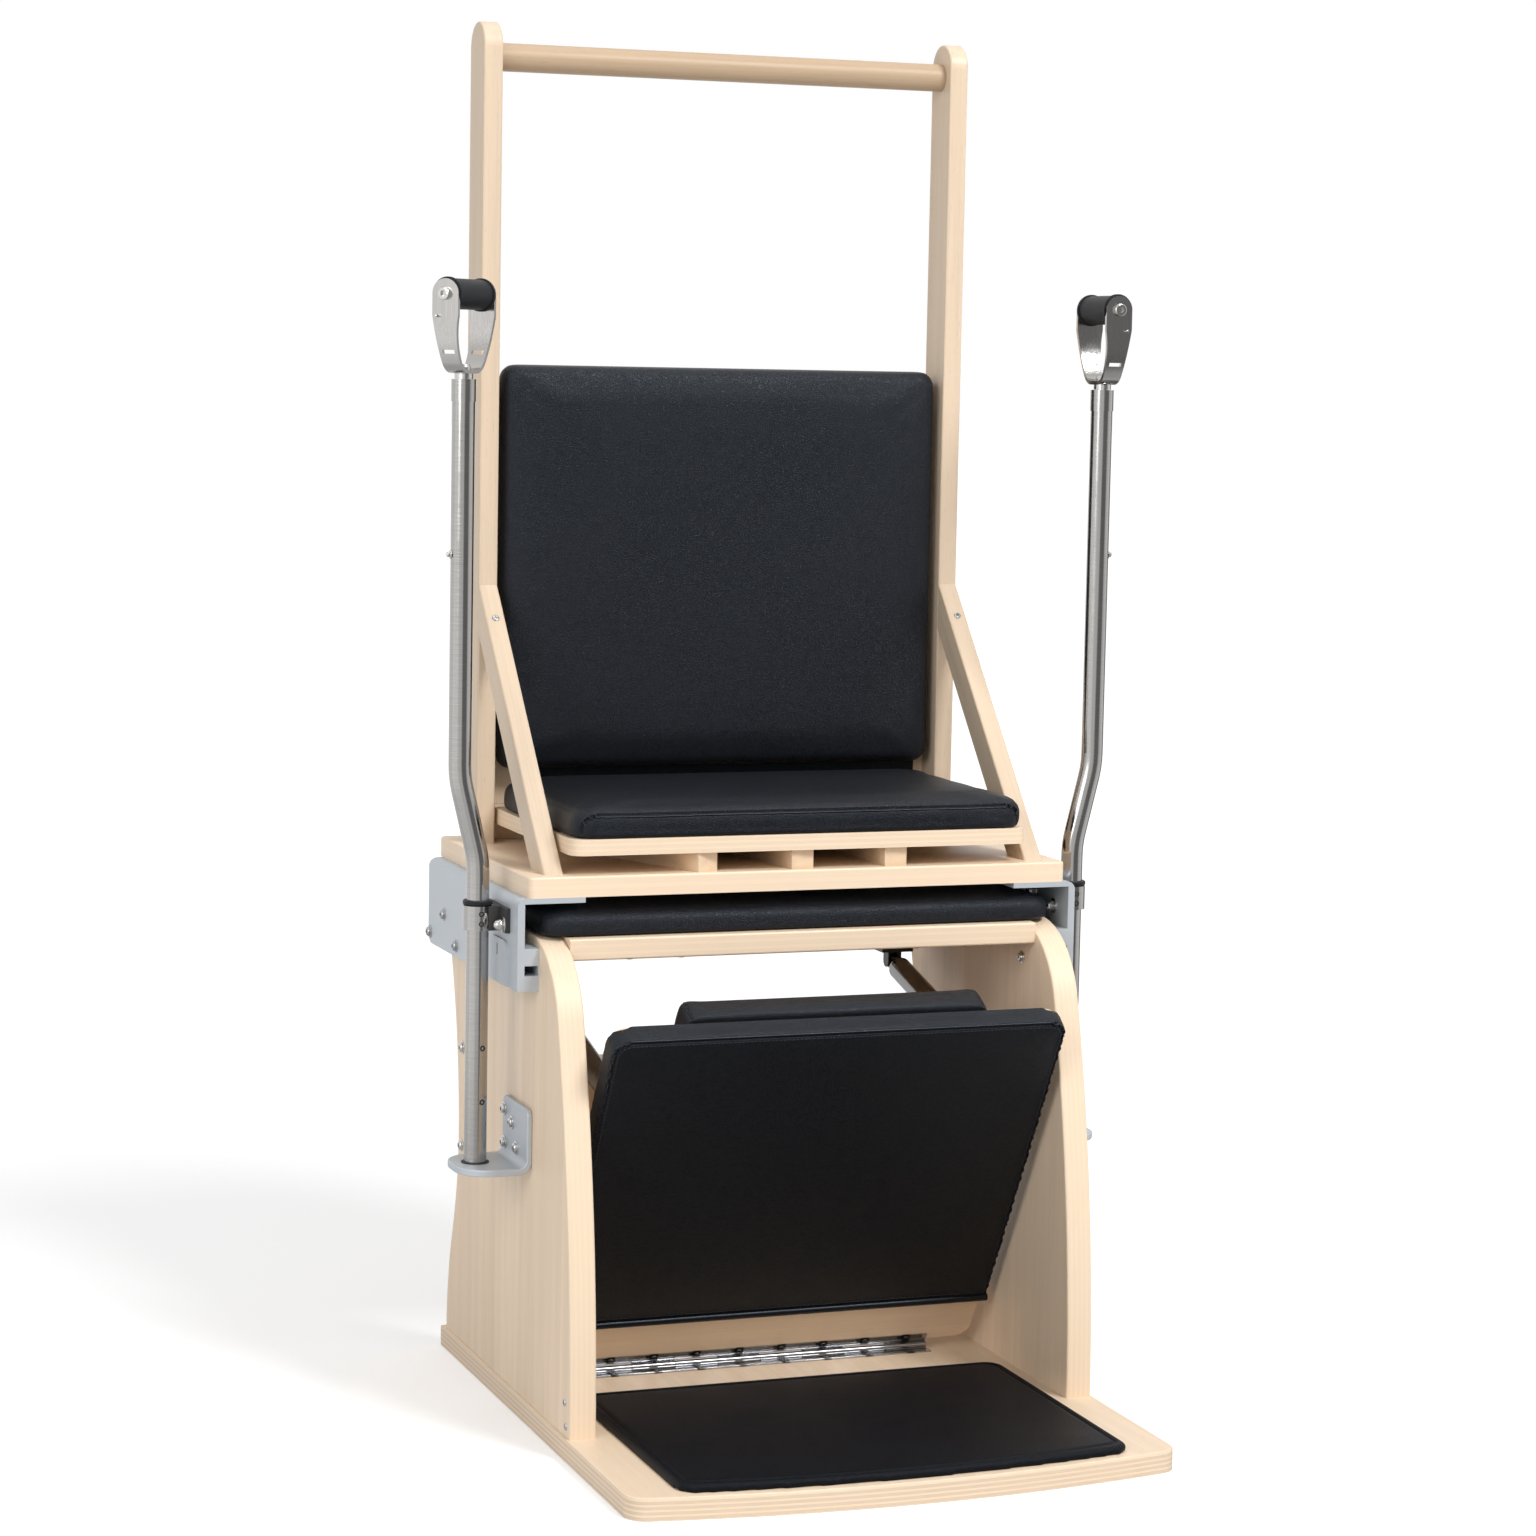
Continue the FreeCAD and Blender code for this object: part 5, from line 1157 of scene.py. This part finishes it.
    def finish(self) -> None:
        """Shade and dress the pad, and let it stand for its solid."""
        take(self.piece)
        bpy.ops.object.shade_smooth()
        dress(self.piece, self.cover, self.body)
        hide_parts(self.node)

    def line(self, points: Sequence[Point], closed: bool = False) -> list[Vector]:
        """Return close, even points of a line that is given in the pad's own frame."""
        corners = [self.place @ Vector(point) for point in points]
        return [spot for spot, _ in even(corners, SEAM_STEP, closed)]

    def onto(self, points: Sequence[Vector], lift: float) -> list[Vector]:
        """Return points moved onto the pad's skin, and lifted off it by lift."""
        bpy.context.view_layer.update()
        placed = []
        for point in points:
            found, spot, normal, _ = self.piece.closest_point_on_mesh(point)
            placed.append(spot + normal * lift if found else point)
        return placed

    def groove(self, points: Sequence[Vector], width: float, depth: float, cuts: int = 2) -> None:
        """Press a sewn line into the skin.

        Args:
            points: The line, close to the skin.
            width: How far from the line the skin is drawn in.
            depth: How far it is drawn in at the line.
            cuts: How often the faces near the line are divided first.
        """
        line = self.onto(points, 0.0)
        tree = KDTree(len(line))
        for number, point in enumerate(line):
            tree.insert(point, number)
        tree.balance()
        if cuts:
            pick_faces(self.piece, lambda centre, normal: tree.find(centre)[2] < width * 1.2)
            bpy.ops.mesh.subdivide(number_cuts=cuts)
            leave_edit()
        for vertex, normal in zip(self.piece.data.vertices, self.normals()):
            away = tree.find(vertex.co)[2] / width
            if away < 1.0:
                vertex.co -= normal * depth * (1.0 - away) ** 2

    def welt(self, name: str, points: Sequence[Vector], radius: float, closed: bool = False) -> None:
        """Lay a thin rolled welt in a sewn line."""
        piece = tube_along(name + "_welt", self.onto(points, radius * 0.3), radius, closed)
        dress(piece, WELT_VINYL, self.body)

    def sew(self, name: str, points: Sequence[Vector], pitch: float, closed: bool = False) -> None:
        """Sew a row of stitches onto the pad's skin."""
        row = stitches(name + "_stitches", self.onto(points, STITCH_LIFT), pitch, closed)
        dress(row, THREAD, self.body)


class WrappedPad(Pad):
    """The pedal's pad, whose cover wraps over the board's top and sides.

    Attributes:
        corner: Radius of its two upper corners.
        roll: Radius of the rolled front edges.
        foot: How far the cover's lower end stops short of its solid's.
        board: Half width, front face and top of the hollow for the board.
        board_corner: Radius of the hollow's upper corners.
    """

    corner = 0.022
    roll = 0.0045
    foot = 0.0095
    board = (0.2623, 0.0041, 0.4943)
    board_corner = 0.018

    def start(self) -> bpy.types.Object:
        """Return the start shape: a block with rounded upper corners and rolled front edges."""
        self.low.z += self.foot
        piece = block(self.node + "_dressed", tuple(self.low), tuple(self.high))
        top, front = self.high.z - 1e-5, self.low.y + 1e-5
        bevel_edges(piece, self.corner, 6, lambda a, b: min(a.z, b.z) > top and abs(a.x - b.x) < 1e-6)
        bevel_edges(piece, self.roll, 3, lambda a, b: max(a.y, b.y) < front)
        piece.data.transform(self.place)
        apply_modifier(piece, "REMESH", mode="VOXEL", voxel_size=self.voxel)
        return piece

    def hollow(self) -> None:
        """Cut the room for the pedal board out of the pad's back."""
        half, face, top = self.board
        room = block("board_room", (-half, face, -0.02), (half, 0.06, top))
        bevel_edges(room, self.board_corner, 6,
                    lambda a, b: min(a.z, b.z) > top - 1e-5 and abs(a.x - b.x) < 1e-6)
        room.data.transform(self.place)
        cut(self.piece, room)

    def finish(self) -> None:
        """Hollow the pad for its board, and finish it as the others are."""
        self.hollow()
        super().finish()
        smooth(self.piece, 50.0)


def corner_arc(centre: tuple[float, float], radius: float, start: float, sweep: float = -90.0,
               steps: int = 6) -> list[tuple[float, float]]:
    """Return the points of an arc in a plane, from start and round by sweep, both in degrees."""
    angles = [math.radians(start + sweep * number / steps) for number in range(steps + 1)]
    return [(centre[0] + radius * math.cos(angle), centre[1] + radius * math.sin(angle)) for angle in angles]


def arch(half: float, low: float, high: float, corner: float) -> list[tuple[float, float]]:
    """Return an open line up, across and down again, with rounded upper corners."""
    left = corner_arc((corner - half, high - corner), corner, 180.0)
    right = corner_arc((half - corner, high - corner), corner, 90.0)
    return [(-half, low), *left, *right, (half, low)]


@dataclass
class Upholstery:
    """Every cushion and mat of the chair.

    Attributes:
        pitch: Length of one stitch with its gap.
        bench_seam: Half width, height and corner of the bench cushion's front seam.
        pedal_seam: Half width, height and corner of the seam round the pedal's pad.
        hem: Radius of the rolled hem along the foot of the pedal's pad.
        bar_seam: Distance of the bar's end seams from its middle.
        rim: Width of the mat's rolled rim.
        mat_bow: How far the mat's front edge bows out.
        flap: Thickness, length, lap, left margin and right margin of the flap under the back cushion.
        bench_groove: Width and depth of the bench cushion's seam.
        side_crease: Width and depth of the creases along its upper side edges.
        pedal_groove: Width and depth of the seam round the pedal's pad.
        hem_groove: Width and depth of the crease above the hem.
        bar_groove: Width and depth of the bar's end seams.
        rim_groove: Width and depth of the groove inside the mat's rim.
        bench_welt: Radius of the welt in the bench cushion's seam.
        pedal_welt: Radius of the welt in the pedal's seam.
        bench_ends: Points at each end of the bench cushion's seam that stay unsewn.
        stitch_rise: Height of the bench cushion's stitches over its seam.
        stitch_inset: Distance of the pedal's stitches from its seam.
        seam_foot: Height of the pedal seam's ends over the pad's foot.
        mat_corner: Radius of the groove's corners on the mat.
        foot_gap: Gap between the back board's foot and what it stands against.
        pads: The pads by name.
    """

    pitch: float = 0.0048
    bench_seam: tuple = (0.27, 0.6835, 0.028)
    pedal_seam: tuple = (0.2632, 0.4952, 0.0192)
    hem: float = 0.0046
    bar_seam: float = 0.1735
    rim: float = 0.0105
    mat_bow: float = 0.02
    flap: tuple = (0.004, 0.036, 0.004, 0.03, 0.006)
    bench_groove: tuple = (0.0052, 0.0023)
    side_crease: tuple = (0.006, 0.0007)
    pedal_groove: tuple = (0.0036, 0.0014)
    hem_groove: tuple = (0.005, 0.002)
    bar_groove: tuple = (0.004, 0.001)
    rim_groove: tuple = (0.006, 0.0024)
    bench_welt: float = 0.0011
    pedal_welt: float = 0.0014
    bench_ends: int = 12
    stitch_rise: float = 0.0022
    stitch_inset: float = 0.0045
    seam_foot: float = 0.012
    mat_corner: float = 0.014
    foot_gap: float = 0.0002
    pads: dict[str, Pad] = field(default_factory=dict)

    def build(self) -> None:
        """Make all the pads, swell them together, sew their seams and dress them."""
        down, back, front = (0.0, 0.0, -1.0), (0.0, 1.0, 0.0), (0.0, -1.0, 0.0)
        self.pads = {
            "chair": Pad("chair_seat_cushion", "frame", down, 0.006, 0.0015, 0.003, 0.8, 4),
            "bench": Pad("bench_seat_cushion", "frame", down, 0.005, 0.0015, 0.003, 0.85, 5),
            "back": Pad("back_cushion", "frame", back, 0.006, 0.001, 0.0018, 0.85, 4),
            "bar": Pad("pedal_back_pad", "pedal", front, 0.004, 0.001, 0.002, 0.85, 4, PEDAL_FRAME),
            "pedal": WrappedPad("pedal_pad", "pedal", back, 0.006, 0.0008, 0.001, 0.9, 2, PEDAL_FRAME),
            "mat": Pad("base_pad", "frame", down, 0.003, 0.0, 0.0, 0.5, 4),
        }
        self.pads["mat"].cover = MAT_VINYL
        for pad in self.pads.values():
            pad.prepare()
        for number in range(1, SIM_FRAMES + 1):
            bpy.context.scene.frame_set(number)
        for pad in self.pads.values():
            pad.settle()
        bpy.context.scene.frame_set(1)
        self.sew_bench(self.pads["bench"])
        self.sew_pedal(self.pads["pedal"])
        self.sew_bar(self.pads["bar"])
        self.sew_mat(self.pads["mat"])
        for pad in self.pads.values():
            pad.finish()
        self.foot_board()
        self.tuck_flap()

    def foot_board(self) -> None:
        """Make the foot of the back board, which closes the gap down to the bench."""
        low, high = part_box("back_board")
        gap = self.foot_gap
        foot = block("back_board_foot", (low[0] + gap, low[1], BENCH_TOP + gap),
                     (high[0] - gap, high[1], low[2] - gap))
        bevel_edges(foot, 0.0006, 2, lambda a, b: abs(a.x - b.x) > 0.1)
        smooth(foot)
        dress(foot, BACK_PLY, "frame")

    def tuck_flap(self) -> None:
        """Make the flap of the back cushion's cover that is tucked down behind the bench cushion."""
        low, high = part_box("back_cushion")
        thick, long, lap, left, right = self.flap
        back = high[1] - 0.0003
        flap = block("back_cushion_flap", (low[0] + left, back - thick, low[2] - long),
                     (high[0] - right, back, low[2] + lap))
        bevel_edges(flap, thick * 0.4, 3, lambda a, b: min(a.z, b.z) < low[2])
        smooth(flap)
        dress(flap, BLACK_VINYL, "frame")

    def sew_bench(self, pad: Pad) -> None:
        """Sew the bench cushion's front panel and its creased upper side edges."""
        half, high, corner = self.bench_seam
        ahead = pad.low.y - 0.004
        seam = pad.line([(x, ahead, z) for x, z in arch(half, pad.low.z + 0.001, high, corner)])
        pad.groove(seam, *self.bench_groove)
        for sign in SIDES.values():
            edge = pad.line([(sign * half, pad.low.y + 0.004, high + 0.006),
                             (sign * half, pad.high.y - 0.03, high + 0.006)])
            pad.groove(edge, *self.side_crease, 1)
        sewn = seam[self.bench_ends:-self.bench_ends]
        rise = Vector((0.0, 0.0, self.stitch_rise))
        pad.welt("bench_seam", sewn, self.bench_welt)
        pad.sew("bench_seam", [point + rise for point in sewn], self.pitch)

    def sew_pedal(self, pad: Pad) -> None:
        """Sew the line round the pedal's pad and the hem along its foot."""
        half, high, corner = self.pedal_seam
        edge, face = pad.low.y + 0.0012, pad.low.y - 0.003
        start, inset = pad.low.z + self.seam_foot, self.stitch_inset
        seam = pad.line([(x, edge, z) for x, z in arch(half, start, high, corner)])
        pad.groove(seam, *self.pedal_groove)
        pad.welt("pedal_seam", seam, self.pedal_welt)
        inner = arch(half - inset, start, high - inset, corner - 0.004)
        pad.sew("pedal_seam", pad.line([(x, face, z) for x, z in inner]), self.pitch)
        centre, reach = pad.low.z + self.hem, pad.high.x - 0.0012
        crease = centre + self.hem + 0.001
        foot = pad.line([(-reach, face, crease), (reach, face, crease)])
        pad.groove(foot, *self.hem_groove)
        pad.sew("pedal_hem", pad.line([(-reach, face, crease + 0.003), (reach, face, crease + 0.003)]),
                self.pitch)
        depth = pad.low.y + self.hem - 0.002
        ends = [PEDAL_FRAME @ Vector((x, depth, centre)) for x in (-reach, reach)]
        hem = tube_along("pedal_hem_roll", ends, self.hem, False)
        dress(hem, WELT_VINYL, "pedal")

    def sew_bar(self, pad: Pad) -> None:
        """Sew a seam round each end of the padded bar."""
        low, high = pad.low, pad.high
        for side, sign in SIDES.items():
            x = sign * self.bar_seam
            ring = pad.line([(x, low.y + 0.001, high.z), (x, high.y, high.z), (x, high.y, low.z),
                             (x, low.y + 0.001, low.z)])
            pad.groove(ring, *self.bar_groove)
            pad.sew("bar_seam_" + side, ring[2:-2], self.pitch)

    def sew_mat(self, pad: Pad) -> None:
        """Press the groove inside the mat's rolled rim."""
        low, high = pad.low + Vector((self.rim, self.rim, 0.0)), pad.high - Vector((self.rim, self.rim, 0.0))
        corner, chord = self.mat_corner, low.y + self.mat_bow
        line = corner_arc((low.x + corner, high.y - corner), corner, 180.0)
        line += corner_arc((high.x - corner, high.y - corner), corner, 90.0)
        line += corner_arc((high.x - corner, chord + corner), corner, 0.0)
        count = 24
        for number in range(1, count):
            share = 2.0 * number / count - 1.0
            line.append((-share * (high.x - corner), low.y + self.mat_bow * share ** 2))
        line += corner_arc((low.x + corner, chord + corner), corner, 270.0)
        rim = pad.line([(x, y, high.z + 0.001) for x, y in line], True)
        pad.groove(rim, *self.rim_groove)


@dataclass
class Stage:
    """Floor, light and camera.

    Attributes:
        place: Where the camera stands.
        yaw, pitch, roll: How it is turned, in radians.
        focal: Its focal length in pixels of a picture as wide as width.
        width: Width of that picture.
        floor_glow: What the floor shows of itself, near the chair and far from it.
        floor_mirror: Share of the room's tone that glossy surfaces see in the floor, near and far.
        room_glow: How bright metal sees the room, behind the camera and behind the chair.
        room_light: How brightly the room lights the chair.
        room_places: Lights and dim places of the room: direction, where each starts and ends, and change.
        lamps: Name, place, size and power of each lamp.
        aimed: The point that the lamps face.
    """

    place: Point = (-1.47805, -3.86581, 1.17136)
    yaw: float = 0.355336
    pitch: float = 0.107179
    roll: float = 0.018958
    focal: float = 3743.167
    width: float = 1536.0
    floor_glow: tuple = (0.34, 0.75)
    floor_mirror: tuple = (0.55, 1.0)
    room_glow: tuple = (0.84, 1.0)
    room_light: float = 0.45
    room_places: tuple = (((-0.94, -0.34, 0.0), 0.78, 0.96, 0.3), ((0.41, -0.91, 0.0), 0.84, 0.95, -0.62),
                          ((0.98, 0.05, 0.0), 0.85, 0.97, 0.1), ((0.8, 0.6, 0.0), 0.85, 0.96, -0.75))
    lamps: tuple = (("key", (1.9, -3.5, 4.7), 2.0, 240.0), ("fill", (-3.2, -2.2, 2.2), 2.6, 51.0),
                    ("top", (0.3, 0.4, 5.2), 2.8, 42.0))
    aimed: Point = (0.0, 0.0, 0.7)

    def build(self) -> None:
        """Set the picture's look, floor, lights and camera."""
        scene = bpy.context.scene
        scene.view_settings.view_transform = "Standard"
        self.floor()
        self.world()
        for lamp in self.lamps:
            self.lamp(*lamp)
        self.camera()

    def mirrored(self, graph: Graph, way: bpy.types.NodeSocket) -> bpy.types.NodeSocket:
        """Return how bright metal sees the room along a direction: a white back, lights and dim places."""
        tone = graph.span(graph.dot(way, (0.0, 1.0, 0.0)), -0.35, 0.3, self.room_glow)
        for place, start, end, change in self.room_places:
            tone = graph.math("ADD", tone, graph.span(graph.dot(way, place), start, end, (0.0, change)))
        return graph.math("MAXIMUM", tone, 0.04)

    def floor(self) -> None:
        """Lay a pale floor that keeps the chair's shadow and fades into the backdrop."""
        clear_selection()
        bpy.ops.mesh.primitive_plane_add(size=120.0, location=(0.0, 0.0, -0.0004))
        piece = named("pale_floor")
        material = bpy.data.materials.new("pale_floor")
        material.use_nodes = True
        material.node_tree.nodes.clear()
        graph = Graph(material.node_tree)
        here = graph.add("ShaderNodeTexCoord").outputs["Object"]
        away = graph.add("ShaderNodeVectorMath", {0: here}, operation="LENGTH").outputs["Value"]
        way = graph.add("ShaderNodeVectorMath", {0: here}, operation="NORMALIZE").outputs["Vector"]
        matt = graph.add("ShaderNodeBsdfDiffuse", {"Color": (0.8, 0.8, 0.805, 1.0)})
        glow = graph.add("ShaderNodeEmission", {"Color": (1.0, 1.0, 1.0, 1.0),
                                                "Strength": graph.span(away, 0.6, 6.0, self.floor_glow)})
        both = graph.add("ShaderNodeAddShader", {0: matt.outputs[0], 1: glow.outputs[0]})
        rays = graph.add("ShaderNodeLightPath")
        seen = graph.math("MAXIMUM", rays.outputs["Is Camera Ray"], rays.outputs["Is Transmission Ray"])
        shown = graph.add("ShaderNodeMixShader", {0: seen, 1: matt.outputs[0], 2: both.outputs[0]})
        far = graph.math("MULTIPLY", self.mirrored(graph, way), graph.span(away, 0.6, 3.0, self.floor_mirror))
        mirror = graph.add("ShaderNodeEmission", {"Color": (1.0, 1.0, 1.0, 1.0), "Strength": far})
        whole = graph.add("ShaderNodeMixShader", {0: rays.outputs["Is Glossy Ray"], 1: shown.outputs[0],
                                                  2: mirror.outputs[0]})
        graph.add("ShaderNodeOutputMaterial", {"Surface": whole.outputs[0]})
        piece.data.materials.append(material)

    def world(self) -> None:
        """Light the room softly; metal mirrors a white backdrop, a window and a dim side."""
        world = bpy.data.worlds.new("white_room")
        bpy.context.scene.world = world
        world.use_nodes = True
        world.node_tree.nodes.clear()
        graph = Graph(world.node_tree)
        rays = graph.add("ShaderNodeLightPath")
        way = graph.add("ShaderNodeTexCoord").outputs["Generated"]
        back = self.mirrored(graph, way)
        mirrored = graph.math("MAXIMUM", rays.outputs["Is Glossy Ray"], rays.outputs["Is Transmission Ray"])
        soft = graph.math("MULTIPLY", graph.math("SUBTRACT", 1.0, mirrored), self.room_light)
        plain = graph.math("ADD", soft, graph.math("MULTIPLY", mirrored, back))
        strength = graph.math("MAXIMUM", plain, rays.outputs["Is Camera Ray"])
        light = graph.add("ShaderNodeBackground", {"Color": (1.0, 1.0, 1.0, 1.0), "Strength": strength})
        graph.add("ShaderNodeOutputWorld", {"Surface": light.outputs[0]})

    def lamp(self, name: str, place: Point, size: float, power: float) -> None:
        """Hang one large soft lamp that faces the chair."""
        light = bpy.data.lights.new(name, "AREA")
        light.energy = power
        light.shape = "DISK"
        light.size = size
        lamp = bpy.data.objects.new(name, light)
        lamp.location = place
        lamp.rotation_euler = (Vector(self.aimed) - Vector(place)).to_track_quat("-Z", "Y").to_euler()
        bpy.context.scene.collection.objects.link(lamp)

    def camera(self) -> None:
        """Stand the camera at the photograph's place."""
        ahead = Vector((math.sin(self.yaw) * math.cos(self.pitch), math.cos(self.yaw) * math.cos(self.pitch),
                        -math.sin(self.pitch)))
        right = Vector((math.cos(self.yaw), -math.sin(self.yaw), 0.0))
        down = ahead.cross(right)
        c, s = math.cos(self.roll), math.sin(self.roll)
        across, below = right * c - down * s, right * s + down * c
        turn = Matrix((across, -below, -ahead)).transposed()
        data = bpy.data.cameras.new("camera")
        data.sensor_width = 36.0
        data.lens = self.focal / self.width * data.sensor_width
        data.clip_end = 200.0
        camera = bpy.data.objects.new("camera", data)
        camera.matrix_world = Matrix.Translation(self.place) @ turn.to_4x4()
        bpy.context.scene.collection.objects.link(camera)
        bpy.context.scene.camera = camera


def dress_nodes() -> None:
    """Give every rigid solid of the frame its finish."""
    for finish, names in NODE_FINISHES:
        for name in names:
            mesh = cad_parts[name].data
            mesh.materials.clear()
            mesh.materials.append(finish.material())


def main() -> None:
    """Dress the frame, add the soft and small pieces, and set the stage."""
    logging.basicConfig(level=logging.INFO, format="%(message)s")
    dress_nodes()
    Stage().build()
    fasteners = Fasteners()
    BoxHardware().build(fasteners)
    HingeScrews().build(fasteners)
    HandlePoles().build(fasteners)
    fasteners.clear()
    Upholstery().build()


if __name__ == "__main__":
    main()
